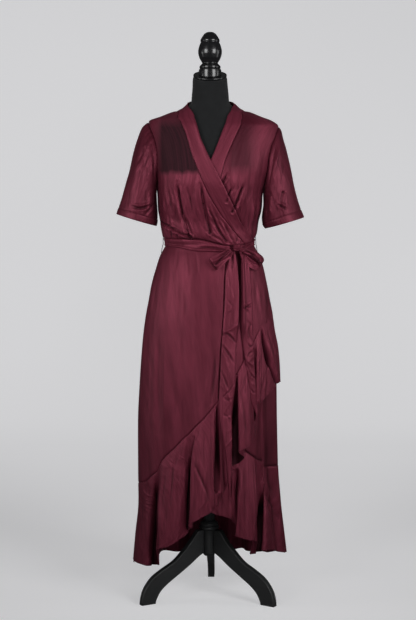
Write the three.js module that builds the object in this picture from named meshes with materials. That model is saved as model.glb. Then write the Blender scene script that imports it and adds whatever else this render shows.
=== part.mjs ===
// Wrap dress on a limbless dress form with a turned stand.
// Millimetres, +Z up, the front towards -Y, viewer's left at -X.
// The cloth is worked out on one smooth surface around the figure: each piece is a
// patch of it, moved out by the layers that it covers and closed as a thin wall.
import * as THREE from 'three';

// ---- driving sizes -------------------------------------------------------
const ORIGIN = { x: 2.5, y: 17.4 };  // middle of the whole object's footprint box, from the pole's axis
const WALL = 1.2;          // cloth wall
const LAYER = 3.0;         // one layer of cloth over another
const INNER = 1.5;         // outer face of the innermost layer, from the surface
const OUTER = INNER + LAYER;
const SEAM = 0.4;          // gap between pieces at a seam
const WAIST_Z = 1046;
const FORM_BOTTOM_Z = 790;
const NECK_TOP_Z = 1529, NECK_TILT = 20;   // degrees, lower at the front
const POLE_R = 16;
const HUB_R = 21, HUB_LOW_Z = 119, HUB_HIGH_Z = 226;
const LEG_THICK = 20, REAR_LEG_TURN = 2;   // degrees, clockwise from above
const TIE_WIDTH = 41;

// ---- tables --------------------------------------------------------------
// the surface around the figure: centre, half widths, depths and squareness
const BODY = table('z cx left right front back n', [
  [1560, 2.4, 47, 48, 50, 50, 2.0], [1543, 2.4, 48, 48, 50, 50, 2.0],
  [1520, 2.2, 50, 50, 52, 52, 2.0], [1490, 3.0, 52, 52.5, 54, 56, 2.0],
  [1468, 3.0, 57, 58, 59, 64, 2.0], [1457, 3.0, 60, 62, 61, 70, 2.0],
  [1446, 3.0, 69, 74, 64, 79, 2.05], [1434, 3.0, 84, 88, 68, 89, 2.1],
  [1423, 3.0, 115, 120, 75, 97, 2.15], [1411, 3.0, 146, 149, 83, 104, 2.2],
  [1400, 3.0, 175, 178, 90, 108, 2.2], [1386, 3.0, 177, 195, 98, 110, 2.2],
  [1360, 3.0, 173, 196, 107, 112, 2.2], [1327, 3.0, 168, 190, 116, 113, 2.2],
  [1294, 3.0, 165, 184, 123, 112, 2.2], [1261, 2.0, 160, 177, 127, 110, 2.2],
  [1229, 2.0, 154, 163, 128, 107, 2.2], [1186, 1.0, 149, 151, 122, 102, 2.2],
  [1152, 1.0, 148, 149, 114, 98, 2.2], [1117, 0.5, 141, 141, 104, 94, 2.2],
  [1081, 0.5, 130, 131, 95, 90, 2.2], [1060, 0.0, 124, 125, 91, 88, 2.2],
  [1046, 0.0, 122, 124, 90, 88, 2.2], [1029, 0.0, 130, 131, 93, 92, 2.2],
  [1011, 0.0, 140, 141, 98, 99, 2.2], [976, 0.0, 152, 153, 106, 111, 2.2],
  [940, -0.5, 162, 162, 112, 120, 2.2], [882, -1.0, 173, 174, 119, 131, 2.2],
  [835, -1.5, 182, 183, 124, 135, 2.2], [788, -2.0, 188, 188, 128, 138, 2.15],
  [740, -1.5, 193, 194, 132, 142, 2.1], [645, -2.5, 199, 199, 138, 150, 2.05],
  [526, -3.5, 204, 202, 146, 160, 2.0], [382, -2.5, 205, 205, 156, 175, 2.0],
  [286, 0.0, 206, 209, 164, 185, 2.0], [190, 0.5, 216, 218, 172, 195, 2.0],
  [60, 1.8, 229, 231, 183, 206, 2.0],
]);
// how far the form's jersey stays inside that surface, and its own hips
const FORM = table('z inside hip', [
  [1560, 0, 400], [1490, 0, 400], [1480, 0.8, 400], [1468, 3, 400], [1457, 5, 400], [1446, 6, 400],
  [1400, 6, 400], [1100, 6, 400], [1046, 6, 400], [976, 7, 146], [930, 8, 154], [882, 9, 160],
  [850, 12, 163], [820, 14, 163], [800, 17, 160], [790, 22, 154],
]);
// neck bands: angle of the sewn edge and of the free edge at each height
const BAND_OUTER = table('z sewn free', [
  [1456, -90, -88], [1452, -90, -76], [1443, -90, -58], [1434, -88, -43], [1422, -47.4, -24], [1411, -37, -16],
  [1398, -27, -12], [1382, -23.9, -10.3], [1346, -20, -7.3], [1310, -16.8, -2.7], [1286, -14, 0.3], [1267, -11.5, 3],
  [1239, -8, 7.4], [1200, -2.2, 15.4], [1172, 2.1, 21], [1156, 5.5, 24.3], [1133, 10.8, 30],
  [1113, 18, 36], [1083, 30.1, 51], [1060, 43, 66], [1046, 50, 74],
]);
const BAND_UNDER = table('z sewn free', [
  [1456, 90, 88], [1452, 90, 74], [1443, 90, 56], [1434, 87, 42], [1422, 45.5, 25], [1411, 36, 17],
  [1398, 27, 12.5], [1374, 22.2, 9], [1330, 16.5, 4.6], [1286, 11.8, 0.3], [1243, 9.2, -4], [1200, 2, -12],
  [1150, -8, -24], [1100, -22, -40], [1046, -36, -56],
]);
// armholes: middle height, half height, and half width in degrees at front and back
const ARMHOLE = { left: { z: 1306, h: 92, front: 27, back: 24 }, right: { z: 1299, h: 86, front: 27, back: 24 } };
// sleeves: outer and inner edge seen from the front, middle depth and half depth
const SLEEVE_LEFT = table('t xo zo xi zi y depth', [
  [0, -179, 1397, -156, 1215, 2, 52], [0.12, -195, 1382, -155, 1203, 2, 62], [0.25, -207, 1348, -154, 1189, 0, 69],
  [0.38, -217, 1313, -153, 1174, -2, 72], [0.55, -230, 1258, -152.5, 1160, -5, 73], [0.7, -242, 1221, -152, 1148, -7, 72],
  [0.84, -253, 1184, -151, 1136, -8, 71], [0.94, -264, 1152, -151, 1117, -8, 71], [1, -270, 1134, -154, 1099, -8, 71],
]);
const SLEEVE_RIGHT = table('t xo zo xi zi y depth', [
  [0, 201, 1382, 169, 1215, 2, 52], [0.12, 207, 1372, 165, 1203, 2, 62], [0.25, 212, 1350, 161, 1187, 0, 69],
  [0.38, 221, 1322, 158.5, 1170, -2, 72], [0.55, 236, 1262, 156, 1151, -5, 73], [0.7, 244, 1221, 154, 1136, -7, 72],
  [0.84, 254, 1182, 153, 1121, -8, 71], [0.94, 266, 1146, 155, 1106, -8, 71], [1, 275, 1124, 163, 1092, -8, 71],
]);
const SLEEVE_HEM = 14;
// the outer front's flounce, a row for each crest and hollow, from the left side seam
const FLOUNCE_OUTER = folds([
  ['side', -205, 340, -227, 98, 0], ['crest1', -184, 362, -196, 106, 8], ['slope1', -163, 385, -172, 124, 0],
  ['hollow1', -150, 397, -143, 134, -20], ['edge2', -136, 430, -153, 174, 18], ['crest2', -101, 468, -123, 188, 22],
  ['slope2', -72, 499, -89, 207, 12], ['hollow2', -56, 513, -61, 226, -12], ['edge3', -38, 534, -55, 256, 16],
  ['crest3', -15, 557, -26, 274, 22], ['slope3', 2, 577, 2, 288, 14], ['strip3', 16, 594, 19, 303, 6],
  ['hollow3', 30, 610, 36, 329, -13], ['mid4', 48, 633, 56, 374, 0], ['hollow4', 68, 664, 74, 418, -15],
  ['edge5', 82, 689, 88, 461, 14], ['crest5', 99, 720, 108, 470, 18], ['slope5', 113, 747, 127, 486, 6],
  ['hollow5', 125, 769, 135, 537, -13], ['edge6', 137, 791, 138, 590, 4], ['crest6', 149, 808, 150, 598, 5],
  ['hollow6', 158, 815, 156, 599, -22], ['inside7', 170, 822, 183, 614, -11], ['lip7', 182, 827, 208, 626, 4],
  ['end', 300, 829, 300, 640, 0],
]);
// the under front's flounce
const FLOUNCE_UNDER = folds([
  ['hidden', -38, 551, -40, 312, 0], ['left', 11, 517, 14, 281, 0], ['slope1', 37, 499, 42, 271, 4],
  ['edge1', 57, 487, 67, 252, -6], ['slope2', 74, 475, 74, 221, 4], ['crest2', 92, 463, 94, 206, 14],
  ['crest3', 115, 446, 123, 199, 18], ['edge3', 130, 433, 136, 197, 14], ['hollow3', 141, 423, 137, 146, -20],
  ['hollow4', 150, 419, 154, 151, -12], ['edge4', 159, 415, 156, 161, 9], ['crest4', 178, 403, 189, 154, 10],
  ['side', 300, 391, 300, 127, 0],
]);
const BACK_FLOUNCE = { seam: 372, foldsAcross: 9, depth: 13 };
const BACK_HEM = table('angle z', [[90, 128], [110, 112], [135, 92], [180, 82], [225, 86], [250, 94], [270, 98]]);
// belt: upper and lower edge, and how far out its face is
const BELT = table('angle top low out', [
  [-180, 1066, 1037, 5.4], [-120, 1067, 1038, 5.4], [-90, 1068, 1039, 5.4], [-80, 1067, 1038, 7.2], [-44, 1065, 1035.5, 7.2],
  [-26, 1065, 1030, 7.2], [-10, 1062, 1025.5, 7.2], [8, 1050.5, 1024.5, 7.2], [18, 1045, 1025, 7.4], [30, 1043, 1025, 7.8],
  [43, 1045, 1028, 7.4], [60, 1052, 1034, 7.2], [78, 1060, 1038, 7.2], [90, 1064, 1041, 7.2], [102, 1065, 1040, 5.4], [180, 1066, 1037, 5.4],
]);
const KNOT = { x: 78, z: 1032, out: 20, wide: 13, tall: 13, deep: 10, from: 24, to: 41 };  // degrees of belt that it covers
// bow loops: the middle line of each, run out along the upper face and back along the lower
const BOW_LEFT = table('t x out z wide', [
  [0, 62, 22, 1036, 14], [0.12, 48, 24, 1030, 24], [0.3, 22, 24, 1014, 33], [0.45, 2, 22, 991, 36], [0.5, 0, 20, 984, 36],
  [0.56, 4, 19, 978, 36], [0.7, 24, 18, 982, 33], [0.88, 48, 18, 1008, 24], [1, 62, 18, 1022, 14],
]);
const BOW_RIGHT = table('t x out z wide', [
  [0, 94, 22, 1036, 14], [0.12, 108, 24, 1034, 24], [0.3, 134, 24, 1020, 33], [0.45, 160, 20, 996, 36], [0.5, 163, 18, 986, 36],
  [0.56, 158, 17, 978, 36], [0.7, 136, 18, 984, 33], [0.88, 108, 19, 1008, 24], [1, 94, 19, 1022, 14],
]);
const TAIL_LONG = table('z left right', [
  [1015, 57, 75], [976, 49, 82], [934, 46, 85], [891, 45, 86], [835, 41, 85], [792, 38, 83], [750, 35, 79],
  [665, 31, 76], [608, 28, 69], [552, 31, 65], [495, 39, 65], [438, 48, 65], [381, 53, 63], [335, 58, 62],
]);
const TAIL_SHORT = table('z left right', [
  [1014, 92, 112], [947, 92, 122], [890, 92, 124], [833, 91, 125], [777, 95, 126], [719, 103, 131],
  [662, 112, 135], [604, 120, 140], [566, 134, 140],
]);
const TAIL_OUT = { long: 14, short: 14 };
// waist pleats of the fronts: from the waist up, as soft ridges
const PLEATS_OUTER = table('key xa za xb zb width high', [
  [0, -112, 1078, -134, 1112, 6, 2.2], [1, -78, 1070, -94, 1180, 9, 2.6], [2, -40, 1060, -62, 1190, 9, 2.6],
  [3, 4, 1056, -20, 1200, 9, 2.4], [4, 34, 1060, 14, 1130, 7, 2.2],
]);
const PLEATS_UNDER = table('key xa za xb zb width high', [
  [0, 66, 1150, 100, 1235, 8, 1.6], [1, 112, 1100, 128, 1200, 9, 1.8],
]);
// turned pieces: radius at each height
const FINIAL = [[0, 1657.5], [9, 1656.5], [16.5, 1652], [22, 1644.5], [25.5, 1638.5], [27.6, 1633.5], [26.4, 1629.5], [28.5, 1625],
  [32, 1615], [34.4, 1604], [34, 1594], [30.5, 1582], [25, 1572.5], [22.4, 1568], [22.6, 1565.5], [27.5, 1560.5], [30.6, 1555.5], [30.6, 1552],
  [32.6, 1550.5], [32.6, 1530], [0, 1530]];
const HUB = [[0, HUB_LOW_Z], [14, HUB_LOW_Z], [HUB_R - 1, HUB_LOW_Z + 8], [HUB_R, HUB_LOW_Z + 10], [HUB_R, 200], [28.5, 201.5], [30, 205], [29, 209],
  [25, 211], [25, 213], [27, 215.5], [26.5, 219], [22, 222], [19, 225], [17.5, HUB_HIGH_Z], [0, HUB_HIGH_Z]];
// leg plank: upper edge out to the foot, then the lower edge back
const LEG_UPPER = [[42, 202], [66, 168], [92, 141], [120, 116], [158, 96], [190, 76], [213, 48], [223, 22], [226, 0]];
const LEG_LOWER = [[181, 0], [178, 11], [166, 32], [145, 51], [109, 74], [70, 99], [42, 119.5], [25, 130]];

// ---- reading tables --------------------------------------------------------
function table(names, rows) {
  const keys = names.split(' ');
  const list = rows[0][0] > rows[rows.length - 1][0] ? [...rows].reverse() : rows;
  const out = { rows: list, keys };
  keys.slice(1).forEach((k, i) => { out[k] = spline(list.map((r) => r[0]), list.map((r) => r[i + 1])); });
  return out;
}
// a smooth curve through a table's values that makes no bumps of its own
function spline(xs, ys) {
  const n = xs.length, d = [], m = new Array(n);
  for (let i = 0; i < n - 1; i++) d.push((ys[i + 1] - ys[i]) / (xs[i + 1] - xs[i]));
  m[0] = d[0]; m[n - 1] = d[n - 2];
  for (let i = 1; i < n - 1; i++) m[i] = d[i - 1] * d[i] <= 0 ? 0 : (2 * d[i - 1] * d[i]) / (d[i - 1] + d[i]);
  return (x) => {
    if (x <= xs[0]) return ys[0];
    if (x >= xs[n - 1]) return ys[n - 1];
    let i = 0; while (xs[i + 1] < x) i++;
    const h = xs[i + 1] - xs[i], t = (x - xs[i]) / h;
    return (1 + 2 * t) * (1 - t) ** 2 * ys[i] + t * (1 - t) ** 2 * h * m[i] + t * t * (3 - 2 * t) * ys[i + 1] + t * t * (t - 1) * h * m[i + 1];
  };
}
const smooth = (t) => { t = Math.min(1, Math.max(0, t)); return t * t * (3 - 2 * t); };
const mix = (a, b, t) => a + (b - a) * t;
const rad = (a) => (a * Math.PI) / 180;

// ---- the surface -----------------------------------------------------------
function base(angle, z) {
  const s = Math.sin(rad(angle)), c = Math.cos(rad(angle)), e = 2 / BODY.n(z);
  const a = s < 0 ? BODY.left(z) : BODY.right(z), b = c > 0 ? BODY.front(z) : BODY.back(z);
  return new THREE.Vector3(BODY.cx(z) + a * Math.sign(s) * Math.abs(s) ** e, -b * Math.sign(c) * Math.abs(c) ** e, z);
}
function outward(angle, z) {
  const du = base(angle + 0.06, z).sub(base(angle - 0.06, z)), dv = base(angle, z + 0.5).sub(base(angle, z - 0.5));
  return du.cross(dv).normalize();
}
function surf(angle, z, out) { return base(angle, z).addScaledVector(outward(angle, z), out); }
// the angle at which the surface, moved out, has a given x
function angleOf(x, z, out) {
  let angle = 0, want = x;
  for (let k = 0; k < 5; k++) {
    const d = want - BODY.cx(z), a = d < 0 ? BODY.left(z) : BODY.right(z);
    angle = (Math.sign(d) * Math.asin(Math.min(1, Math.abs(d) / a) ** (BODY.n(z) / 2)) * 180) / Math.PI;
    want = x - out * outward(angle, z).x;
  }
  return angle;
}
// the under front hangs free below the form, well inside the outer one
function underOut(angle, z) {
  return INNER - 31.5 * smooth((90 - Math.abs(angle)) / 13) * smooth((815 - z) / 90);
}
// the outer front lies flat at its side seam and armhole, and a layer out where it covers the other
function outerOut(angle, z) { return mix(INNER, OUTER, smooth((angle + mix(90, 66, smooth((z - 1060) / 60))) / 14)); }
function folds(rows) { return rows; }

// ---- walls -------------------------------------------------------------------
// A wall from its outer face at(u, v), with WALL taken inward. Closed in u if around.
function wall(name, nu, nv, at, { around = false, thick = WALL } = {}) {
  const outer = [], inner = [], cu = around ? nu : nu + 1, h = 1e-3;
  for (let j = 0; j <= nv; j++) for (let i = 0; i < cu; i++) {
    const u = i / nu, v = j / nv, p = at(u, v);
    const ua = around ? u - h : Math.max(0, u - h), ub = around ? u + h : Math.min(1, u + h);
    const n = at(ub, v).sub(at(ua, v)).cross(at(u, Math.min(1, v + h)).sub(at(u, Math.max(0, v - h)))).normalize();
    outer.push(p); inner.push(p.clone().addScaledVector(n, -thick));
  }
  const id = (i, j, side) => (side ? outer.length : 0) + j * cu + (around ? i % nu : i);
  const tris = [];
  const quad = (a, b, c, d) => tris.push(a, b, c, a, c, d);
  for (let j = 0; j < nv; j++) for (let i = 0; i < nu; i++) {
    const [a, b, c, d] = [id(i, j, 0), id(i + 1, j, 0), id(i + 1, j + 1, 0), id(i, j + 1, 0)], k = outer.length;
    if (outer[a].distanceTo(outer[c]) <= outer[b].distanceTo(outer[d])) { quad(a, b, c, d); quad(c + k, b + k, a + k, d + k); }
    else { quad(b, c, d, a); quad(d + k, c + k, b + k, a + k); }
  }
  for (let i = 0; i < nu; i++) {
    quad(id(i, 0, 0), id(i, 0, 1), id(i + 1, 0, 1), id(i + 1, 0, 0));
    quad(id(i, nv, 0), id(i + 1, nv, 0), id(i + 1, nv, 1), id(i, nv, 1));
  }
  if (!around) for (let j = 0; j < nv; j++) {
    quad(id(0, j, 0), id(0, j + 1, 0), id(0, j + 1, 1), id(0, j, 1));
    quad(id(nu, j, 0), id(nu, j, 1), id(nu, j + 1, 1), id(nu, j + 1, 0));
  }
  return solid(name, [...outer, ...inner], tris, CLOTH);
}
// a closed body from stacked rings of points, with flat ends
function stack(name, rings, material) {
  const n = rings[0].length, pts = rings.flat(), tris = [];
  for (let j = 0; j < rings.length - 1; j++) for (let i = 0; i < n; i++) {
    const a = j * n + i, b = j * n + ((i + 1) % n);
    tris.push(a, b, b + n, a, b + n, a + n);
  }
  for (const [row, flip] of [[0, true], [rings.length - 1, false]]) {
    const mid = new THREE.Vector3(); rings[row].forEach((p) => mid.addScaledVector(p, 1 / n)); pts.push(mid);
    for (let i = 0; i < n; i++) {
      const a = row * n + i, b = row * n + ((i + 1) % n);
      tris.push(...(flip ? [b, a, pts.length - 1] : [a, b, pts.length - 1]));
    }
  }
  return solid(name, pts, tris, material);
}
function solid(name, pts, tris, material) {
  let volume = 0;
  for (let k = 0; k < tris.length; k += 3) volume += pts[tris[k]].dot(pts[tris[k + 1]].clone().cross(pts[tris[k + 2]]));
  if (volume < 0) for (let k = 0; k < tris.length; k += 3) [tris[k + 1], tris[k + 2]] = [tris[k + 2], tris[k + 1]];
  const g = new THREE.BufferGeometry();
  g.setAttribute('position', new THREE.Float32BufferAttribute(pts.flatMap((p) => [p.x, p.y, p.z]), 3));
  g.setIndex(tris); g.computeVertexNormals();
  return named(name, g, material);
}
function named(name, geometry, material) { const m = new THREE.Mesh(geometry, material); m.name = name; return m; }
const finish = (color, roughness, metalness = 0) => new THREE.MeshStandardMaterial({ color, roughness, metalness });
const CLOTH = finish(0x66283a, 0.42), JERSEY = finish(0x222324, 0.85), GLOSS = finish(0x0c0c0d, 0.15), SATIN_WOOD = finish(0x1b1c1e, 0.45);

const dress = new THREE.Group(), form = new THREE.Group();

// ---- bodice ---------------------------------------------------------------------
// how far the armhole takes the side edge forward or back at a height
function armEdge(side, face, z) {
  const a = ARMHOLE[side], t = (z - a.z) / a.h;
  return Math.abs(t) < 1 ? a[face] * Math.sqrt(1 - t * t) : 0;
}
function pleats(list, x, z) {
  let high = 0;
  for (const [, xa, za, xb, zb, width, top] of list.rows) {
    const dx = xb - xa, dz = zb - za, t = ((x - xa) * dx + (z - za) * dz) / (dx * dx + dz * dz);
    const off = ((x - xa) * dz - (z - za) * dx) / Math.hypot(dx, dz);
    if (t < 1) high += top * Math.exp(-((off / width) ** 2)) * smooth(1 - Math.max(0, t)) * smooth((z - WAIST_Z - 22) / 14);
  }
  return high;
}
const HALF = 0.14;  // degrees, half the gap at side and shoulder seams
const bodiceZ = (v, top) => mix(top, WAIST_Z + SEAM, v);
dress.add(wall('bodice_front_outer', 12, 14, (u, v) => {
  const z = bodiceZ(v, 1427), left = -90 + armEdge('left', 'front', z) + HALF, right = BAND_OUTER.sewn(z) - 0.35;
  const angle = mix(left, right, u), p = base(angle, z);
  return surf(angle, z, outerOut(angle, z) + pleats(PLEATS_OUTER, p.x, z));
}));
dress.add(wall('bodice_front_under', 11, 14, (u, v) => {
  const z = bodiceZ(v, 1427), right = 90 - armEdge('right', 'front', z) - HALF, left = BAND_UNDER.sewn(z) + 0.25;
  const angle = mix(left, right, u), p = base(angle, z);
  return surf(angle, z, INNER + pleats(PLEATS_UNDER, p.x, z) * smooth((angle - BAND_OUTER.free(z) - 3) / 8));
}));
dress.add(wall('bodice_back', 16, 12, (u, v) => {
  const top = mix(1432, 1437, Math.sin(Math.PI * u)), z = bodiceZ(v, top);
  return surf(mix(90 + armEdge('right', 'back', z) + HALF, 270 - armEdge('left', 'back', z) - HALF, u), z, INNER);
}));
// ---- neck band --------------------------------------------------------------------
dress.add(wall('neck_band_outer', 3, 18, (u, v) => {
  const z = mix(1453, WAIST_Z + SEAM, v), angle = mix(BAND_OUTER.sewn(z) + (z > 1430 ? HALF : 0.25), BAND_OUTER.free(z), u);
  return surf(angle, z, outerOut(angle, z) + 0.4 * smooth((1440 - z) / 20));
}));
dress.add(wall('neck_band_under', 3, 16, (u, v) => {
  const z = mix(1453, WAIST_Z + SEAM, v);
  return surf(mix(BAND_UNDER.free(z), BAND_UNDER.sewn(z) - (z > 1430 ? HALF : 0.25), u), z, INNER);
}));
dress.add(wall('neck_band_back', 14, 3, (u, v) => {
  const rise = Math.sin(Math.PI * u);
  return surf(mix(90 + HALF, 270 - HALF, u), mix(mix(1455, 1467, rise), mix(1432.6, 1437.6, rise), v), INNER);
}));
// ---- sleeves ----------------------------------------------------------------------
function sleeveAt(side, rows) {
  const s = side === 'left' ? -1 : 1, a = ARMHOLE[side];
  return (u, t) => {
    const f = 2 * Math.PI * u * -s, c = Math.cos(f), d = Math.sin(f);      // c = 1 at the top, d = 1 at the front
    const x = mix(rows.xi(t), rows.xo(t), (1 + c) / 2), z = mix(rows.zi(t), rows.zo(t), (1 + c) / 2);
    const p = new THREE.Vector3(x, rows.y(t) - rows.depth(t) * d, z);
    const z0 = a.z + a.h * c, edge = surf(s * (90 - (d > 0 ? a.front : a.back) * d), z0, INNER);
    edge.x += s * 2.6;
    const start = new THREE.Vector3(mix(rows.xi(0), rows.xo(0), (1 + c) / 2), rows.y(0) - rows.depth(0) * d, mix(rows.zi(0), rows.zo(0), (1 + c) / 2));
    return p.add(edge.sub(start).multiplyScalar(1 - smooth(t / 0.5)));
  };
}
for (const [side, rows] of [['left', SLEEVE_LEFT], ['right', SLEEVE_RIGHT]]) {
  const at = sleeveAt(side, rows), hem = 1 - SLEEVE_HEM / 230, gap = SEAM / 230;
  dress.add(wall(`sleeve_${side}`, 18, 8, (u, v) => at(u, mix(0, hem - gap, v)), { around: true }));
  dress.add(wall(`sleeve_hem_${side}`, 18, 1, (u, v) => at(u, mix(hem, 1, v)), { around: true }));
}
// ---- skirt ------------------------------------------------------------------------
// a flounce's table as curves over u, its edges given as angles
function flounce(rows, layer, ends) {
  const n = rows.length - 1, us = rows.map((r, i) => i / n);
  const edge = (k) => rows.map((r, i) => {
    if (i === 0 && ends[0] !== null) return ends[0];
    if (i === n && ends[1] !== null) return ends[1];
    let angle = r[k] / 3;
    for (let q = 0; q < 6; q++) angle = angleOf(r[k], r[k + 1], layer(angle, r[k + 1]) + (k === 3 ? r[5] : 0));
    return angle;
  });
  const seamA = spline(us, edge(1)), seamZ = spline(us, rows.map((r) => r[2]));
  const hemA = spline(us, edge(3)), hemZ = spline(us, rows.map((r) => r[4])), out = spline(us, rows.map((r) => r[5]));
  return {
    n, seamA, seamZ,
    at(u, v) {
      const angle = mix(seamA(u), hemA(u), v), z = mix(seamZ(u) - 2.5 * SEAM, hemZ(u), v);
      return surf(angle, z, layer(angle, z) + out(u) * Math.sin((Math.PI / 2) * v) ** 0.9);
    },
  };
}
const outerF = flounce(FLOUNCE_OUTER, outerOut, [-90 + HALF, 97]);
const underF = flounce(FLOUNCE_UNDER, underOut, [null, 90 - HALF]);
dress.add(wall('flounce_outer', 40, 5, outerF.at));
dress.add(wall('flounce_under', 24, 4, underF.at));
dress.add(wall('skirt_front_outer', 40, 6, (u, v) => {
  const angle = outerF.seamA(u), z = mix(WAIST_Z - SEAM, outerF.seamZ(u), v);
  return surf(mix(mix(-90 + HALF, 89, u), angle, smooth(v * 1.5)), z, outerOut(angle, z));
}));
dress.add(wall('skirt_front_under', 20, 8, (u, v) => {
  const angle = underF.seamA(u), z = mix(WAIST_Z - SEAM, underF.seamZ(u), v), at = mix(mix(-38, 90 - HALF, u), angle, smooth(v * 1.5));
  return surf(at, z, underOut(at, z));
}));
dress.add(wall('skirt_back', 20, 8, (u, v) => surf(mix(90 + HALF, 270 - HALF, u), mix(WAIST_Z - SEAM, mix(393, 340, u), v), INNER)));
dress.add(wall('flounce_back', 36, 4, (u, v) => {
  const angle = mix(90 + HALF, 270 - HALF, u), z = mix(mix(393, 340, u) - SEAM, BACK_HEM.z(angle), v);
  return surf(angle, z, INNER + BACK_FLOUNCE.depth * Math.sin(2 * Math.PI * BACK_FLOUNCE.foldsAcross * u) * Math.sin(Math.PI * u) ** 0.35 * v ** 0.8);
}));
// ---- belt, knot and bow -------------------------------------------------------------
dress.add(wall('belt', 34, 1, (u, v) => {
  let angle = mix(KNOT.to, 360 + KNOT.from, u); if (angle > 180) angle -= 360;
  return surf(angle, mix(BELT.top(angle), BELT.low(angle), v), BELT.out(angle));
}));
function onSkirt(x, z, out) { return surf(angleOf(x, z, out), z, out); }
{
  const c = onSkirt(KNOT.x, KNOT.z, KNOT.out), rings = [];
  for (let j = 1; j < 8; j++) {
    const e = (Math.PI * j) / 8, ring = [];
    for (let i = 0; i < 12; i++) {
      const f = (2 * Math.PI * i) / 12;
      ring.push(new THREE.Vector3(c.x + KNOT.wide * Math.sin(e) * Math.cos(f), c.y + KNOT.deep * Math.sin(e) * Math.sin(f), c.z - KNOT.tall * Math.cos(e)));
    }
    rings.push(ring);
  }
  dress.add(stack('belt_knot', rings, CLOTH));
}
for (const [side, rows] of [['left', BOW_LEFT], ['right', BOW_RIGHT]]) {
  dress.add(wall(`bow_loop_${side}`, 16, 1, (u, v) => {
    const p = onSkirt(rows.x(u), rows.z(u), rows.out(u)), half = rows.wide(u) / 2;
    // the strip's width runs out of the picture, tipped up
    return p.add(new THREE.Vector3(0, -0.86, 0.5).multiplyScalar(mix(-half, half, v)).add(new THREE.Vector3(0, -half * 0.8, 0)));
  }));
}
for (const [name, rows, out] of [['tie_tail_long', TAIL_LONG, TAIL_OUT.long], ['tie_tail_short', TAIL_SHORT, TAIL_OUT.short]]) {
  const zs = rows.rows.map((r) => r[0]), top = Math.max(...zs), low = Math.min(...zs);
  dress.add(wall(name, 3, 13, (u, v) => {
    const z = mix(top, low, v), x = mix(rows.left(z), rows.right(z), u);
    return onSkirt(x, z - (name === 'tie_tail_long' ? 0 : 6) * u, out + 1.6 * Math.sin(Math.PI * u));
  }));
}
for (const s of [-1, 1]) {
  const pts = [[1074, 4.4], [1069, 8.5], [1056, 11.8], [1044, 12.5], [1032, 10.5], [1024, 7], [1018, 4.4]].map(([z, out]) => surf(s * 90.8, z, out));
  const curve = new THREE.CatmullRomCurve3(pts), shape = new THREE.Shape();
  for (let k = 0; k < 6; k++) shape[k ? 'lineTo' : 'moveTo'](Math.cos((k * Math.PI) / 3), Math.sin((k * Math.PI) / 3));
  dress.add(named(`belt_loop_${s < 0 ? 'left' : 'right'}`, new THREE.ExtrudeGeometry(shape, { steps: 10, extrudePath: curve }), CLOTH));
}
// ---- dress form and stand --------------------------------------------------------------
{
  const zs = [790, 800, 830, 870, 920, 976, 1020, 1046, 1075, 1110, 1152, 1195, 1235, 1275, 1320, 1360, 1385, 1399, 1411, 1422, 1434, 1446, 1458, 1470, 1495, NECK_TOP_Z];
  const tilt = Math.tan(rad(NECK_TILT));
  form.add(stack('form_torso', zs.map((z) => {
    const ring = [], half = Math.min(BODY.left(z), BODY.right(z)), k = smooth((z - 1470) / (NECK_TOP_Z - 1470));
    for (let i = 0; i < 28; i++) {
      const f = (2 * Math.PI * i) / 28, s = Math.sin(f), c = Math.cos(f), e = 2 / BODY.n(z);
      const a = Math.min(half - FORM.inside(z), FORM.hip(z)), b = (c > 0 ? BODY.front(z) : BODY.back(z)) - FORM.inside(z);
      const p = new THREE.Vector3(BODY.cx(z) + a * Math.sign(s) * Math.abs(s) ** e, -b * Math.sign(c) * Math.abs(c) ** e, z);
      p.z += p.y * tilt * k;
      ring.push(p);
    }
    return ring;
  }), JERSEY));
  const cap = named('neck_cap', new THREE.CylinderGeometry(48.5, 48.5, 6, 32).rotateX(Math.PI / 2 + rad(NECK_TILT)), SATIN_WOOD);
  cap.position.set(2.4, 0, NECK_TOP_Z + (3.3 + SEAM) / Math.cos(rad(NECK_TILT)));
  form.add(cap);
  const capTop = (y) => NECK_TOP_Z + (6.6 + 2 * SEAM) / Math.cos(rad(NECK_TILT)) + y * tilt;
  const finial = new THREE.LatheGeometry(FINIAL.map(([r, z]) => new THREE.Vector2(r, z)).reverse(), 20).rotateX(Math.PI / 2);
  const pos = finial.getAttribute('position');
  for (let i = 0; i < pos.count; i++) if (pos.getZ(i) < 1531) pos.setZ(i, capTop(pos.getY(i)));
  finial.computeVertexNormals();
  const f = named('finial', finial, GLOSS); f.position.x = 2.4; form.add(f);
}
const lathe = (name, profile, material) => named(name, new THREE.LatheGeometry(profile.map(([r, z]) => new THREE.Vector2(r, z)), 24).rotateX(Math.PI / 2), material);
form.add(lathe('hub', HUB, SATIN_WOOD));
form.add(lathe('pole', [[0, HUB_HIGH_Z + 0.3], [POLE_R, HUB_HIGH_Z + 0.3], [POLE_R, FORM_BOTTOM_Z - 0.3], [0, FORM_BOTTOM_Z - 0.3]], SATIN_WOOD));
{
  const shape = new THREE.Shape();
  const start = HUB_R + 0.5;
  shape.moveTo(start, 200);
  shape.lineTo(LEG_UPPER[0][0], LEG_UPPER[0][1] - 2);
  shape.splineThru(LEG_UPPER.slice(1).map(([r, z]) => new THREE.Vector2(r, z)));
  shape.lineTo(LEG_LOWER[0][0], LEG_LOWER[0][1]);
  shape.splineThru(LEG_LOWER.slice(1).map(([r, z]) => new THREE.Vector2(r, z)));
  shape.lineTo(start, 131);
  for (const [name, turn] of [['leg_rear', 0], ['leg_right', 120], ['leg_left', 240]]) {
    const g = new THREE.ExtrudeGeometry(shape, { depth: LEG_THICK, bevelEnabled: false, curveSegments: 3 });
    g.translate(0, 0, -LEG_THICK / 2).rotateX(Math.PI / 2);     // radius along x, height along z
    const leg = named(name, g, SATIN_WOOD);
    leg.rotation.z = Math.PI / 2 - rad(turn + REAR_LEG_TURN);
    form.add(leg);
  }
}
const part = new THREE.Group();
part.add(form, dress);
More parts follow.
